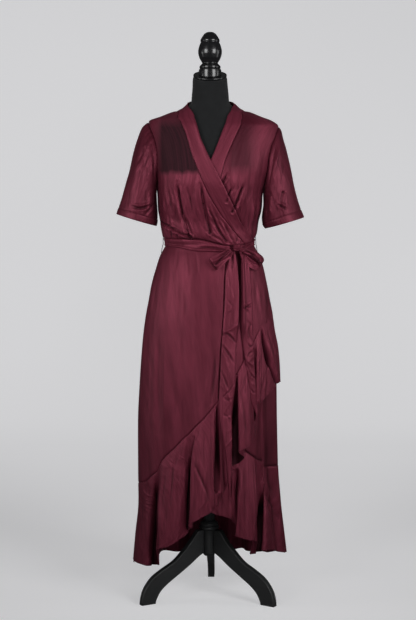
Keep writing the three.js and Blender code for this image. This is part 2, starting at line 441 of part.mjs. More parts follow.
part.position.set(-ORIGIN.x, -ORIGIN.y, 0);
export default part;
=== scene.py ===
import math
import bpy
import bmesh
import numpy as np
from mathutils import Vector, Matrix


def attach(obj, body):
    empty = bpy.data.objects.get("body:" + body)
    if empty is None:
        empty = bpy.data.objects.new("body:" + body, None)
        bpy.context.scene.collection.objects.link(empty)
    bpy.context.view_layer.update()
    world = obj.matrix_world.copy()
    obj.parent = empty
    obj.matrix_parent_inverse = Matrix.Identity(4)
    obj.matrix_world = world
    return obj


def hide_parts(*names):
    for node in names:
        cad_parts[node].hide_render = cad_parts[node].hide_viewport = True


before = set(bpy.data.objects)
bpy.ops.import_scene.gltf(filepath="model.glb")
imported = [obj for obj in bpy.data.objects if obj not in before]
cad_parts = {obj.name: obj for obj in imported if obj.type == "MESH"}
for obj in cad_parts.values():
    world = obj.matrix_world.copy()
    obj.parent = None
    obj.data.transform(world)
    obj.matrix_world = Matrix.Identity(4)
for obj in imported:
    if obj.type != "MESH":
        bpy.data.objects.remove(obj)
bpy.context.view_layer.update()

# ---- driving sizes ---------------------------------------------------------
ORIGIN = np.array([2.5, 17.4, 0.0])
INNER, LAYER = 1.5, 3.0
OUTER = INNER + LAYER
FACE = 1.0            # outer face of a cloth, out from its layer
THICK = 0.8           # cloth
WAIST_Z, SEAM = 1046.0, 0.4
FORM_BOTTOM_Z, NECK_TOP_Z, NECK_TILT = 790.0, 1529.0, 20.0
POLE_R, HUB_R, HUB_LOW_Z, HUB_HIGH_Z = 16.0, 21.0, 119.0, 226.0
LEG_THICK, REAR_LEG_TURN = 20.0, 2.0
CELL = 3.6            # usual mesh cell of the cloth

CAM_PLACE, CAM_PITCH, CAM_FOCAL = np.array([-3.5, -3840.0, 1175.0]), 4.8, 1313.0


# ---- reading tables ---------------------------------------------------------
def spline(xs, ys):
    """Smooth curve through a table's values that makes no bumps of its own."""
    xs, ys = np.asarray(xs, float), np.asarray(ys, float)
    d = np.diff(ys) / np.diff(xs)
    m = np.zeros(len(xs))
    m[0], m[-1] = d[0], d[-1]
    for i in range(1, len(xs) - 1):
        m[i] = 0.0 if d[i - 1] * d[i] <= 0 else 2 * d[i - 1] * d[i] / (d[i - 1] + d[i])

    def at(x):
        x = np.clip(np.asarray(x, float), xs[0], xs[-1])
        i = np.clip(np.searchsorted(xs, x, side="right") - 1, 0, len(xs) - 2)
        h = xs[i + 1] - xs[i]
        t = (x - xs[i]) / h
        return ((1 + 2 * t) * (1 - t) ** 2 * ys[i] + t * (1 - t) ** 2 * h * m[i]
                + t * t * (3 - 2 * t) * ys[i + 1] + t * t * (t - 1) * h * m[i + 1])
    return at


class Table:
    def __init__(self, names, rows):
        rows = sorted(rows, key=lambda r: r[0])
        self.rows = rows
        for k, name in enumerate(names.split()[1:]):
            setattr(self, name, spline([r[0] for r in rows], [r[k + 1] for r in rows]))


BODY = Table("z cx left right front back n", [
    (1560, 2.4, 47, 48, 50, 50, 2.0), (1543, 2.4, 48, 48, 50, 50, 2.0),
    (1520, 2.2, 50, 50, 52, 52, 2.0), (1490, 3.0, 52, 52.5, 54, 56, 2.0),
    (1468, 3.0, 57, 58, 59, 64, 2.0), (1457, 3.0, 60, 62, 61, 70, 2.0),
    (1446, 3.0, 69, 74, 64, 79, 2.05), (1434, 3.0, 84, 88, 68, 89, 2.1),
    (1423, 3.0, 115, 120, 75, 97, 2.15), (1411, 3.0, 146, 149, 83, 104, 2.2),
    (1400, 3.0, 175, 178, 90, 108, 2.2), (1386, 3.0, 177, 195, 98, 110, 2.2),
    (1360, 3.0, 173, 196, 107, 112, 2.2), (1327, 3.0, 168, 190, 116, 113, 2.2),
    (1294, 3.0, 165, 184, 123, 112, 2.2), (1261, 2.0, 160, 177, 127, 110, 2.2),
    (1229, 2.0, 154, 163, 128, 107, 2.2), (1186, 1.0, 149, 151, 122, 102, 2.2),
    (1152, 1.0, 148, 149, 114, 98, 2.2), (1117, 0.5, 141, 141, 104, 94, 2.2),
    (1081, 0.5, 130, 131, 95, 90, 2.2), (1060, 0.0, 124, 125, 91, 88, 2.2),
    (1046, 0.0, 122, 124, 90, 88, 2.2), (1029, 0.0, 130, 131, 93, 92, 2.2),
    (1011, 0.0, 140, 141, 98, 99, 2.2), (976, 0.0, 152, 153, 106, 111, 2.2),
    (940, -0.5, 162, 162, 112, 120, 2.2), (882, -1.0, 173, 174, 119, 131, 2.2),
    (835, -1.5, 182, 183, 124, 135, 2.2), (788, -2.0, 188, 188, 128, 138, 2.15),
    (740, -1.5, 193, 194, 132, 142, 2.1), (645, -2.5, 199, 199, 138, 150, 2.05),
    (526, -3.5, 204, 202, 146, 160, 2.0), (382, -2.5, 205, 205, 156, 175, 2.0),
    (286, 0.0, 206, 209, 164, 185, 2.0), (190, 0.5, 216, 218, 172, 195, 2.0),
    (60, 1.8, 229, 231, 183, 206, 2.0),
])
FORM = Table("z inside hip", [
    (1560, 0, 400), (1490, 0, 400), (1480, 0.8, 400), (1468, 3, 400), (1457, 5, 400), (1446, 6, 400),
    (1400, 6, 400), (1100, 6, 400), (1046, 6, 400), (976, 7, 146), (930, 8, 154), (882, 9, 160),
    (850, 12, 163), (820, 14, 163), (800, 17, 160), (790, 22, 154),
])
BAND_OUTER = Table("z sewn free", [
    (1456, -90, -88), (1452, -90, -76), (1443, -90, -58), (1434, -88, -43), (1422, -47.4, -24), (1411, -37, -16),
    (1398, -27, -12), (1382, -23.9, -10.3), (1346, -20, -7.3), (1310, -16.8, -2.7), (1286, -14, 0.3), (1267, -11.5, 3),
    (1239, -8, 7.4), (1200, -2.2, 15.4), (1172, 2.1, 21), (1156, 5.5, 24.3), (1133, 10.8, 30),
    (1113, 18, 36), (1083, 30.1, 51), (1060, 43, 66), (1046, 50, 74),
])
BAND_UNDER = Table("z sewn free", [
    (1456, 90, 88), (1452, 90, 74), (1443, 90, 56), (1434, 87, 42), (1422, 45.5, 25), (1411, 36, 17),
    (1398, 27, 12.5), (1374, 22.2, 9), (1330, 16.5, 4.6), (1286, 11.8, 0.3), (1243, 9.2, -4), (1200, 2, -12),
    (1150, -8, -24), (1100, -22, -40), (1046, -36, -56),
])
ARMHOLE = {"left": (1306, 92, 27, 24), "right": (1299, 86, 27, 24)}   # height, half height, front, back
SLEEVE = {
    "left": Table("t xo zo xi zi y depth", [
        (0, -179, 1397, -156, 1215, 2, 52), (0.12, -195, 1382, -155, 1203, 2, 62), (0.25, -207, 1348, -154, 1189, 0, 69),
        (0.38, -217, 1313, -153, 1174, -2, 72), (0.55, -230, 1258, -152.5, 1160, -5, 73), (0.7, -242, 1221, -152, 1148, -7, 72),
        (0.84, -253, 1184, -151, 1136, -8, 71), (0.94, -264, 1152, -151, 1117, -8, 71), (1, -270, 1134, -154, 1099, -8, 71),
    ]),
    "right": Table("t xo zo xi zi y depth", [
        (0, 201, 1382, 169, 1215, 2, 52), (0.12, 207, 1372, 165, 1203, 2, 62), (0.25, 212, 1350, 161, 1187, 0, 69),
        (0.38, 221, 1322, 158.5, 1170, -2, 72), (0.55, 236, 1262, 156, 1151, -5, 73), (0.7, 244, 1221, 154, 1136, -7, 72),
        (0.84, 254, 1182, 153, 1121, -8, 71), (0.94, 266, 1146, 155, 1106, -8, 71), (1, 275, 1124, 163, 1092, -8, 71),
    ]),
}
SLEEVE_HEM = 14.0
# name, seam x, seam z, hem x, hem z, out
FLOUNCE_OUTER = [
    ("side", -205, 340, -227, 112, 0), ("crest1", -184, 362, -197, 117, 5), ("slope1", -163, 385, -174, 120, 2),
    ("hollow1", -150, 397, -146, 122, -16), ("edge2", -136, 430, -151, 176, 16), ("crest2", -101, 468, -123, 188, 22),
    ("slope2", -72, 499, -89, 207, 12), ("hollow2", -56, 513, -61, 226, -12), ("edge3", -38, 534, -55, 256, 16),
    ("crest3", -15, 557, -26, 274, 22), ("slope3", 2, 577, 2, 288, 14), ("strip3", 16, 594, 19, 303, 6),
    ("hollow3", 30, 610, 36, 329, -13), ("mid4", 48, 633, 56, 374, 0), ("hollow4", 68, 664, 74, 418, -15),
    ("edge5", 82, 689, 88, 461, 14), ("crest5", 99, 720, 108, 470, 18), ("slope5", 113, 747, 127, 486, 6),
    ("hollow5", 125, 769, 133, 532, -8), ("edge6", 134, 786, 136, 588, 8), ("crest6", 144, 803, 146, 596, 9),
    ("hollow6", 156, 815, 162, 609, 9), ("inside7", 168, 822, 186, 629, 11), ("lip7", 182, 827, 203, 648, 12),
    ("end", 300, 829, 300, 640, 0),
]
FLOUNCE_UNDER = [
    ("hidden", -38, 551, -40, 312, 0), ("left", 11, 517, 14, 281, 0), ("slope1", 37, 499, 42, 271, 4),
    ("edge1", 57, 487, 67, 252, -6), ("slope2", 74, 475, 74, 221, 4), ("crest2", 92, 463, 94, 206, 14),
    ("crest3", 115, 446, 123, 199, 18), ("edge3", 130, 433, 136, 197, 14), ("hollow3", 141, 423, 137, 146, -20),
    ("hollow4", 150, 419, 154, 151, -12), ("edge4", 159, 415, 156, 161, 9), ("crest4", 178, 403, 189, 154, 10),
    ("side", 300, 391, 300, 127, 0),
]
BACK_FOLDS, BACK_DEPTH = 9, 13.0
BACK_HEM = Table("angle z", [(90, 128), (110, 112), (135, 92), (180, 82), (225, 86), (250, 94), (270, 98)])
BELT = Table("angle top low out", [
    (-180, 1066, 1037, 5.4), (-120, 1067, 1038, 5.4), (-90, 1068, 1039, 5.4), (-80, 1067, 1038, 7.2), (-44, 1065, 1035.5, 7.2),
    (-26, 1065, 1030, 7.2), (-10, 1062, 1025.5, 7.2), (8, 1050.5, 1024.5, 7.2), (18, 1045, 1025, 7.4), (30, 1043, 1025, 7.8),
    (43, 1045, 1028, 7.4), (60, 1052, 1034, 7.2), (78, 1060, 1038, 7.2), (90, 1064, 1041, 7.2), (102, 1065, 1040, 5.4), (180, 1066, 1037, 5.4),
])
KNOT = dict(x=78, z=1032, out=20, wide=13, tall=13, deep=10)
KNOT_FROM, KNOT_TO, KNOT_TURN = 24.0, 41.0, 16.0
TAIL_LONG = Table("z left right", [
    (1015, 57, 75), (976, 49, 82), (934, 46, 85), (891, 45, 86), (835, 41, 85), (792, 38, 83), (750, 35, 79),
    (665, 31, 76), (608, 28, 69), (552, 31, 65), (495, 39, 65), (438, 48, 65), (381, 53, 63), (335, 58, 62),
])
TAIL_SHORT = Table("z left right", [
    (1014, 92, 112), (947, 92, 122), (890, 92, 124), (833, 91, 125), (777, 95, 126), (719, 103, 131),
    (662, 112, 135), (604, 120, 140), (566, 134, 140),
])
FINIAL = [(0, 1657.5), (9, 1656.5), (16.5, 1652), (22, 1644.5), (25.5, 1638.5), (27.8, 1634.5), (27.9, 1630), (26.2, 1627.5), (28.5, 1624.5),
          (32, 1615), (34.4, 1604), (34, 1594), (30.5, 1582), (25, 1572.5), (22.6, 1569), (22.6, 1566.5), (27.5, 1563), (30.6, 1559), (30.6, 1554),
          (28.6, 1552), (32.6, 1549.5), (32.6, 1530), (0, 1530)]
HUB = [(0, HUB_LOW_Z), (14, HUB_LOW_Z), (HUB_R - 1, HUB_LOW_Z + 8), (HUB_R, HUB_LOW_Z + 10), (HUB_R, 199), (28.5, 201.5), (30, 205), (29, 209),
       (25, 211), (25, 213), (27.5, 215.5), (26.8, 219), (22, 222), (19, 225), (17.5, HUB_HIGH_Z), (0, HUB_HIGH_Z)]
LEG_UPPER = [(42, 202), (66, 168), (92, 141), (120, 116), (158, 96), (190, 76), (213, 48), (223, 22), (226, 0)]
LEG_LOWER = [(181, 0), (178, 11), (166, 32), (145, 51), (109, 74), (70, 99), (42, 119.5), (25, 130)]


def smooth(t):
    t = np.clip(t, 0.0, 1.0)
    return t * t * (3 - 2 * t)


def mix(a, b, t):
    return a + (b - a) * t


def unit(v):
    return v / (np.linalg.norm(v, axis=-1, keepdims=True) + 1e-12)


# ---- the surface around the figure -------------------------------------------
def base(angle, z):
    angle, z = np.broadcast_arrays(np.asarray(angle, float), np.asarray(z, float))
    s, c = np.sin(np.radians(angle)), np.cos(np.radians(angle))
    e = 2 / BODY.n(z)
    a = np.where(s < 0, BODY.left(z), BODY.right(z))
    b = np.where(c > 0, BODY.front(z), BODY.back(z))
    return np.stack([BODY.cx(z) + a * np.sign(s) * np.abs(s) ** e, -b * np.sign(c) * np.abs(c) ** e, z], -1)


def outward(angle, z):
    du = base(angle + 0.06, z) - base(angle - 0.06, z)
    dv = base(angle, z + 0.5) - base(angle, z - 0.5)
    return unit(np.cross(du, dv))


def surf(angle, z, out):
    return base(angle, z) + outward(angle, z) * np.asarray(out, float)[..., None]


def angle_of(x, z, out):
    x, z, out = np.broadcast_arrays(*(np.asarray(q, float) for q in (x, z, out)))
    want = x.copy()
    for _ in range(6):
        d = want - BODY.cx(z)
        a = np.where(d < 0, BODY.left(z), BODY.right(z))
        angle = np.degrees(np.sign(d) * np.arcsin(np.minimum(1.0, np.abs(d) / a) ** (BODY.n(z) / 2)))
        want = x - out * outward(angle, z)[..., 0]
    return angle


def under_out(angle, z):
    return INNER - 31.5 * smooth((90 - np.abs(angle)) / 13) * smooth((815 - z) / 90)


def outer_out(angle, z):
    return mix(INNER, OUTER, smooth((angle + mix(90, 66, smooth((z - 1060) / 60))) / 14))


def pixels(p):
    """Where points show in the photograph's frame."""
    a = math.radians(CAM_PITCH)
    d = p - CAM_PLACE
    depth = d[..., 1] * math.cos(a) - d[..., 2] * math.sin(a)
    up = d[..., 1] * math.sin(a) + d[..., 2] * math.cos(a)
    return 208 + CAM_FOCAL * d[..., 0] / depth, 310 - CAM_FOCAL * up / depth


# ---- creases -------------------------------------------------------------------
def rounded(points, steps=6):
    """A curve through a few points, close enough together to be smooth."""
    p = np.asarray(points, float)
    if len(p) < 3:
        return np.linspace(p[0], p[-1], 6)
    ext = np.vstack([2 * p[0] - p[1], p, 2 * p[-1] - p[-2]])
    out = []
    for i in range(1, len(ext) - 2):
        for k in range(steps):
            t = k / steps
            a, b, c, d = ext[i - 1:i + 3]
            out.append(0.5 * ((2 * b) + (c - a) * t + (2 * a - 5 * b + 4 * c - d) * t * t + (3 * b - a - 3 * c + d) * t ** 3))
    out.append(ext[-2])
    return np.array(out)


def crease_field(x, y, rows, scale=1.0):
    """Adds up soft troughs and ridges. A row is width, depth, lean, start, end, points: depth below
    nought is a trough; lean makes one flank longer; start and end are the share left at the ends."""
    total = np.zeros(np.shape(x))
    for width, depth, lean, start, end, points in rows:
        line = rounded(points)
        reach = 3.2 * width * (1 + abs(lean))
        lo, hi = line.min(0) - reach, line.max(0) + reach
        near = (x > lo[0]) & (x < hi[0]) & (y > lo[1]) & (y < hi[1])
        if not near.any():
            continue
        px_, py_ = x[near], y[near]
        a, b = line[:-1], line[1:]
        seg = b - a
        size = np.linalg.norm(seg, axis=1) + 1e-9
        total_len = size.sum()
        before = np.concatenate([[0], np.cumsum(size)[:-1]])
        rx, ry = px_[:, None] - a[:, 0], py_[:, None] - a[:, 1]
        t = np.clip((rx * seg[:, 0] + ry * seg[:, 1]) / size ** 2, 0, 1)
        qx, qy = rx - t * seg[:, 0], ry - t * seg[:, 1]
        dist = np.hypot(qx, qy)
        k = dist.argmin(1)
        row = np.arange(len(k))
        side = np.sign(rx[row, k] * seg[k, 1] - ry[row, k] * seg[k, 0])   # + on the left of its run in pixels
        along = (before[k] + t[row, k] * size[k]) / total_len
        w = width * np.where(side > 0, 1 + lean, 1 - lean)
        share = mix(start, 1, smooth(along / 0.35)) * mix(end, 1, smooth((1 - along) / 0.35))
        if depth < -1.4:
            # a pressed-in crease: narrow, with a soft fold standing up on each side
            w = 0.82 * w
            total[near] += -0.42 * depth * np.exp(-((dist[row, k] - 2.2 * w) / (1.0 * w)) ** 2) * share
            total[near] += 1.3 * depth * np.exp(-np.abs(dist[row, k] / w) ** 1.6) * share
        else:
            total[near] += depth * np.exp(-(dist[row, k] / w) ** 2) * share
    return total * scale


def tucks(x, y, rows):
    """Deep hollows with an edge that laps over them: how far in and how far to the right each
    point goes, in mm. A row is width, depth, lap, start, end, points; the lap moves what is right of the line."""
    deep, aside = np.zeros(np.shape(x)), np.zeros(np.shape(x))
    for width, depth, lap, start, end, points in rows:
        line = rounded(points)
        lo, hi = line.min(0) - 5 * width, line.max(0) + 5 * width
        near = (x > lo[0]) & (x < hi[0]) & (y > lo[1]) & (y < hi[1])
        if not near.any():
            continue
        a, b = line[:-1], line[1:]
        seg = b - a
        size = np.linalg.norm(seg, axis=1) + 1e-9
        before = np.concatenate([[0], np.cumsum(size)[:-1]])
        rx, ry = x[near][:, None] - a[:, 0], y[near][:, None] - a[:, 1]
        t = np.clip((rx * seg[:, 0] + ry * seg[:, 1]) / size ** 2, 0, 1)
        qx, qy = rx - t * seg[:, 0], ry - t * seg[:, 1]
        dist = np.hypot(qx, qy)
        k = dist.argmin(1)
        row = np.arange(len(k))
        side = np.sign(rx[row, k] * seg[k, 1] - ry[row, k] * seg[k, 0])
        along = (before[k] + t[row, k] * size[k]) / size.sum()
        s = dist[row, k] * side
        grown = width * mix(0.45, 1.0, smooth(along / 0.8))
        share = mix(start, 1, smooth(along / 0.5)) * mix(end, 1, smooth((1 - along) / 0.3))
        deep[near] -= depth * np.exp(-np.abs(s / grown) ** 3) * share
        aside[near] -= lap * np.exp(-((s - 1.15 * grown * np.sign(lap)) / (0.95 * grown)) ** 2) * share
        deep[near] += 0.16 * depth * np.exp(-((s - 1.5 * grown * np.sign(lap + 1e-9)) / (1.1 * grown)) ** 2) * share
    return deep, aside


def ripples(a, z, rows):
    """Long soft waves: wave length and drift in mm, height, phase and how they change down the cloth."""
    total = 0.0
    for length, drift, high, phase in rows:
        bend = 0.35 * length * np.sin(z / (5.3 * length) + phase * 2.1)
        total = total + high * np.sin(2 * np.pi * (a + drift * z + bend) / length + phase)
    return total


# ---- meshes --------------------------------------------------------------------
def lines(length, cell, tight=(True, True)):
    """Grid places from 0 to 1 along a length, with extra lines next to a rolled edge."""
    n = max(2, int(round(length / cell)))
    t = list(np.linspace(0, 1, n + 1))
    extra = [0.9 / length, 2.1 / length]
    if tight[0]:
        t += extra
    if tight[1]:
        t += [1 - e for e in extra]
    t = np.array(sorted(t))
    keep = [0]
    for i in range(1, len(t)):
        if (t[i] - t[keep[-1]]) * length > 0.55:
            keep.append(i)
    t = t[keep]
    t[-1] = 1.0
    return t


def normals(p, around=False):
    """Normals of a grid p[v, u], on the side that dv x du points to."""
    if around:
        du = np.roll(p, -1, 1) - np.roll(p, 1, 1)
    else:
        du = np.gradient(p, axis=1)
    dv = np.gradient(p, axis=0)
    return unit(np.cross(dv, du))


def edge_roll(u, v, wide, tall, roll=0.8, reach=1.6, edges="uUvV"):
    """How far a sheet turns in at its edges: u and v are 0 to 1, wide and tall its size."""
    d = np.full(np.broadcast(u, v).shape, 1e9)
    if "u" in edges:
        d = np.minimum(d, u * wide)
    if "U" in edges:
        d = np.minimum(d, (1 - u) * wide)
    if "v" in edges:
        d = np.minimum(d, v * tall)
    if "V" in edges:
        d = np.minimum(d, (1 - v) * tall)
    return -roll * np.exp(-(d / reach) ** 2)


def under_lap(t, length, both=True, deep=2.0):
    """How far a seam allowance past 0 or 1 lies under the next piece, in mm."""
    past = -t * length
    if both:
        past = np.maximum(past, (t - 1) * length)
    return deep * smooth((past + 1.4) / 2.4)


def to_object(name, verts, faces, uvs=None, mat=None, sharp=None):
    """verts in mm from the pole's axis; uvs one pair per vertex in metres."""
    me = bpy.data.meshes.new(name)
    v = ((np.asarray(verts, float) - ORIGIN) / 1000).astype(np.float32)
    assert np.isfinite(v).all(), name
    f = np.asarray(faces, np.int32)
    k = f.shape[1]
    me.vertices.add(len(v))
    me.vertices.foreach_set("co", v.ravel())
    me.loops.add(f.size)
    me.loops.foreach_set("vertex_index", f.ravel())
    me.polygons.add(len(f))
    me.polygons.foreach_set("loop_start", np.arange(0, f.size, k, dtype=np.int32))
    me.polygons.foreach_set("loop_total", np.full(len(f), k, np.int32))
    me.update(calc_edges=True)
    me.polygons.foreach_set("use_smooth", np.ones(len(f), bool))
    if uvs is not None:
        layer = me.uv_layers.new(name="UVMap")
        layer.data.foreach_set("uv", np.asarray(uvs, np.float32)[f.ravel()].ravel())
    if sharp is not None:
        e = np.zeros(len(me.edges) * 2, np.int32)
        me.edges.foreach_get("vertices", e)
        e = e.reshape(-1, 2)
        mark = (sharp[e[:, 0]] > 0) & (sharp[e[:, 0]] == sharp[e[:, 1]])
        at = me.attributes.new("sharp_edge", "BOOLEAN", "EDGE")
        at.data.foreach_set("value", mark)
    me.validate()
    ob = bpy.data.objects.new(name, me)
    bpy.context.scene.collection.objects.link(ob)
    if mat is not None:
        me.materials.append(mat)
    return ob


def softened(p, times, around):
    """The grid p[v, u] with each place moved towards its neighbours' mean, a number of times."""
    q = p.copy()
    for _ in range(times):
        if around:
            q = (np.roll(q, 1, 1) + 2 * q + np.roll(q, -1, 1)) / 4
        else:
            q = np.concatenate([q[:, :1], (q[:, :-2] + 2 * q[:, 1:-1] + q[:, 2:]) / 4, q[:, -1:]], 1)
        q = np.concatenate([q[:1], (q[:-2] + 2 * q[1:-1] + q[2:]) / 4, q[-1:]], 0)
    return q


def cloth(name, p, mat, around=False, thick=THICK, axis=None, swap=False, dark=0.0, deepen=1.0):
    """A thin shell from its outer face p[v, u]; the other face is `thick` behind it. How far each place
    lies in a trough (or on a ridge, below nought), raised to `dark` where that is more, goes into a point attribute:
    painted shade in troughs, a painted highlight on ridges."""
    n = normals(p, around)
    middle = axis if axis is not None else np.stack([BODY.cx(p[..., 2]), 0 * p[..., 2], p[..., 2]], -1)
    if ((p - middle) * n).sum() < 0:
        n = -n
        turned = True
    else:
        turned = False
    nv, nu = p.shape[:2]
    fine = ((softened(p, 10, around) - p) * n).sum(-1) / 2.4
    broad = ((softened(p, 60, around) - p) * n).sum(-1) / 13.0
    crease_shade_ridge_light = np.where(fine > 0, np.maximum(fine, broad), np.minimum(fine, 0) + np.maximum(broad, 0))
    crease_shade_ridge_light = np.clip(np.maximum(crease_shade_ridge_light * np.where(crease_shade_ridge_light > 0, deepen, 1.0), dark), -1, 1)
    inner = p - n * thick
    verts = np.concatenate([p.reshape(-1, 3), inner.reshape(-1, 3)])
    k = nv * nu
    cu = nu if around else nu - 1
    jj, ii = np.meshgrid(np.arange(nv - 1), np.arange(cu), indexing="ij")
    i2 = (ii + 1) % nu
    a, b, c, d = jj * nu + ii, jj * nu + i2, (jj + 1) * nu + i2, (jj + 1) * nu + ii
    quads = np.stack([a, d, c, b], -1).reshape(-1, 4)      # dv x du side
    if turned:
        quads = quads[:, ::-1]
    back = quads[:, ::-1] + k
    rim = []
    top, low = np.arange(cu), (nv - 1) * nu + np.arange(cu)
    top2, low2 = (np.arange(cu) + 1) % nu, (nv - 1) * nu + (np.arange(cu) + 1) % nu
    rim.append(np.stack([top, top2, top2 + k, top + k], -1))
    rim.append(np.stack([low2, low, low + k, low2 + k], -1))
    if not around:
        s = np.arange(nv - 1) * nu
        rim.append(np.stack([s + nu, s, s + k, s + nu + k], -1))
        e = s + nu - 1
        rim.append(np.stack([e, e + nu, e + nu + k, e + k], -1))
    rim = np.concatenate(rim)
    if turned:
        rim = rim[:, ::-1]
    faces = np.concatenate([quads, back, rim])
    # arc lengths in metres, for the weave
    su = np.concatenate([np.zeros((nv, 1)), np.cumsum(np.linalg.norm(np.diff(p, axis=1), axis=-1), 1)], 1)
    sv = np.concatenate([np.zeros((1, nu)), np.cumsum(np.linalg.norm(np.diff(p, axis=0), axis=-1), 0)], 0)
    su = su - su.mean(1, keepdims=True)
    uv = np.stack([su, -sv], -1).reshape(-1, 2) / 1000
    if swap:
        uv = uv[:, ::-1]
    sharp = np.zeros(2 * k, np.int32)
    grid = np.zeros((nv, nu), bool)
    grid[0], grid[-1] = True, True
    if not around:
        grid[:, 0], grid[:, -1] = True, True
    sharp[:k][grid.ravel()] = 1
    sharp[k:][grid.ravel()] = 2
    ob = to_object(name, verts, faces, np.concatenate([uv, uv]), mat, sharp)
    at = ob.data.attributes.new("crease_shade_ridge_light", "FLOAT", "POINT")
    at.data.foreach_set("value", np.concatenate([crease_shade_ridge_light.ravel(), 0 * crease_shade_ridge_light.ravel()]).astype(np.float32))
    ob["area_m2"] = float(area_of(p, around))
    return ob


def area_of(p, around=False):
    if around:
        p = np.concatenate([p, p[:, :1]], 1)
    a, b, c, d = p[:-1, :-1], p[:-1, 1:], p[1:, 1:], p[1:, :-1]
    return (np.linalg.norm(np.cross(b - a, c - a), axis=-1).sum() + np.linalg.norm(np.cross(c - a, d - a), axis=-1).sum()) / 2e6


def revolve(name, profile, mat, segments=96, centre=(0.0, 0.0), turn=None, shift=(0, 0, 0), cuts=3, clip=None):
    """A turned piece from radius and height; corners are cut round."""
    p = [np.array(q, float) for q in profile]
    for _ in range(cuts):
        out = [p[0]]
        for a, b in zip(p[:-1], p[1:]):
            r = min(0.25, 1.4 / max(np.linalg.norm(b - a), 1e-6)) if _ == 0 else 0.25
            out += [mix(a, b, r), mix(a, b, 1 - r)]
        out.append(p[-1])
        p = out
    p = np.array(p)
    p[0, 0], p[-1, 0] = 0, 0
    keep = [0] + [i for i in range(1, len(p)) if np.linalg.norm(p[i] - p[i - 1]) > 1e-3]
    p = p[keep]
    body = p[1:-1]
    ang = np.linspace(0, 2 * np.pi, segments, endpoint=False)
    ring = np.stack([body[:, 0][:, None] * np.cos(ang), body[:, 0][:, None] * np.sin(ang), np.repeat(body[:, 1][:, None], segments, 1)], -1)
    verts = np.concatenate([ring.reshape(-1, 3), [[0, 0, p[0, 1]], [0, 0, p[-1, 1]]]])
    n = len(body)
    jj, ii = np.meshgrid(np.arange(n - 1), np.arange(segments), indexing="ij")
    a, b = jj * segments + ii, jj * segments + (ii + 1) % segments
    up = p[-1, 1] > p[0, 1]
    quads = np.stack([a, b, b + segments, a + segments], -1).reshape(-1, 4)
    if not up:
        quads = quads[:, ::-1]
    faces = [tuple(q) for q in quads]
    first, last = n * segments, n * segments + 1
    for i in range(segments):
        j = (i + 1) % segments
        t1 = (first, j, i)
        t2 = (last, (n - 1) * segments + i, (n - 1) * segments + j)
        faces += [t1 if up else t1[::-1], t2 if up else t2[::-1]]
    if clip is not None:
        verts = clip(verts)
    if turn is not None:
        verts = verts @ turn.T
    verts = verts + np.array([centre[0], centre[1], 0.0]) + np.array(shift)
    me = bpy.data.meshes.new(name)
    me.from_pydata([tuple(q) for q in (verts - ORIGIN) / 1000], [], faces)
    me.update()
    me.polygons.foreach_set("use_smooth", np.ones(len(me.polygons), bool))
    ob = bpy.data.objects.new(name, me)
    bpy.context.scene.collection.objects.link(ob)
    me.materials.append(mat)
    return ob


def tube(points, radius, sides=8, closed=False):
    """Vertices and quads of a round strand along points, ends closed by fans of quads."""
    p = np.asarray(points, float)
    t = unit(np.gradient(p, axis=0))
    ref = np.tile(np.array([0.0, 0.0, 1.0]), (len(p), 1))
    ref[np.abs(t[:, 2]) > 0.9] = [0.0, 1.0, 0.0]
    a = unit(np.cross(t, ref))
    for i in range(1, len(a)):
        if (a[i] * a[i - 1]).sum() < 0:
            a[i] = -a[i]
        a[i] = unit(a[i] - t[i] * (a[i] * t[i]).sum() + 0.0)
    b = np.cross(t, a)
    r = np.broadcast_to(np.asarray(radius, float), (len(p),))
    ang = np.linspace(0, 2 * np.pi, sides, endpoint=False)
    ring = p[:, None] + r[:, None, None] * (np.cos(ang)[None, :, None] * a[:, None] + np.sin(ang)[None, :, None] * b[:, None])
    v = ring.reshape(-1, 3)
    jj, ii = np.meshgrid(np.arange(len(p) - 1), np.arange(sides), indexing="ij")
    i2 = (ii + 1) % sides
    q = np.stack([jj * sides + ii, jj * sides + i2, (jj + 1) * sides + i2, (jj + 1) * sides + ii], -1).reshape(-1, 4)
    v = np.concatenate([v, p[:1], p[-1:]])
    first, last, m = len(v) - 2, len(v) - 1, (len(p) - 1) * sides
    caps = [(first, (i + 1) % sides, i, first) for i in range(sides)] + [(last, m + i, m + (i + 1) % sides, last) for i in range(sides)]
    return v, q, [c[:3] for c in caps]


def joined(name, parts, mat):
    """One mesh from many (vertices, quads, triangles)."""
    verts, faces, k = [], [], 0
    for v, q, t in parts:
        verts.append(v)
        faces += [tuple(int(i) + k for i in f) for f in q]
        faces += [tuple(int(i) + k for i in f) for f in t]
        k += len(v)
    me = bpy.data.meshes.new(name)
    me.from_pydata([tuple(q) for q in (np.concatenate(verts) - ORIGIN) / 1000], [], faces)
    me.update()
    me.polygons.foreach_set("use_smooth", np.ones(len(me.polygons), bool))
    bm = bmesh.new()
    bm.from_mesh(me)
    bmesh.ops.recalc_face_normals(bm, faces=bm.faces)
    bm.to_mesh(me)
    bm.free()
    ob = bpy.data.objects.new(name, me)
    bpy.context.scene.collection.objects.link(ob)
    me.materials.append(mat)
    return ob


def stitches(name, line, normal, mat, long=2.6, gap=1.5, lift=0.15, thick=0.42):
    """Small thread stitches along a line of points on a cloth."""
    line, normal = np.asarray(line, float), np.asarray(normal, float)
    s = np.concatenate([[0], np.cumsum(np.linalg.norm(np.diff(line, axis=0), axis=1))])
    at = np.arange(1.0, s[-1] - long, long + gap)
    parts = []
    for a in at:
        t = np.linspace(a, a + long, 5)
        p = np.stack([np.interp(t, s, line[:, k]) for k in range(3)], -1)
        n = unit(np.stack([np.interp(t, s, normal[:, k]) for k in range(3)], -1))
        rise = np.array([-0.25, lift, lift + 0.1, lift, -0.25])[:, None]
        parts.append(tube(p + n * rise, thick / 2 * np.array([0.5, 0.9, 1.0, 0.9, 0.5]), 5))
    return joined(name, parts, mat)


# ---- finishes --------------------------------------------------------------------
def material(name):
    m = bpy.data.materials.new(name)
    m.use_nodes = True
    tree = m.node_tree
    return m, tree, tree.nodes["Principled BSDF"]


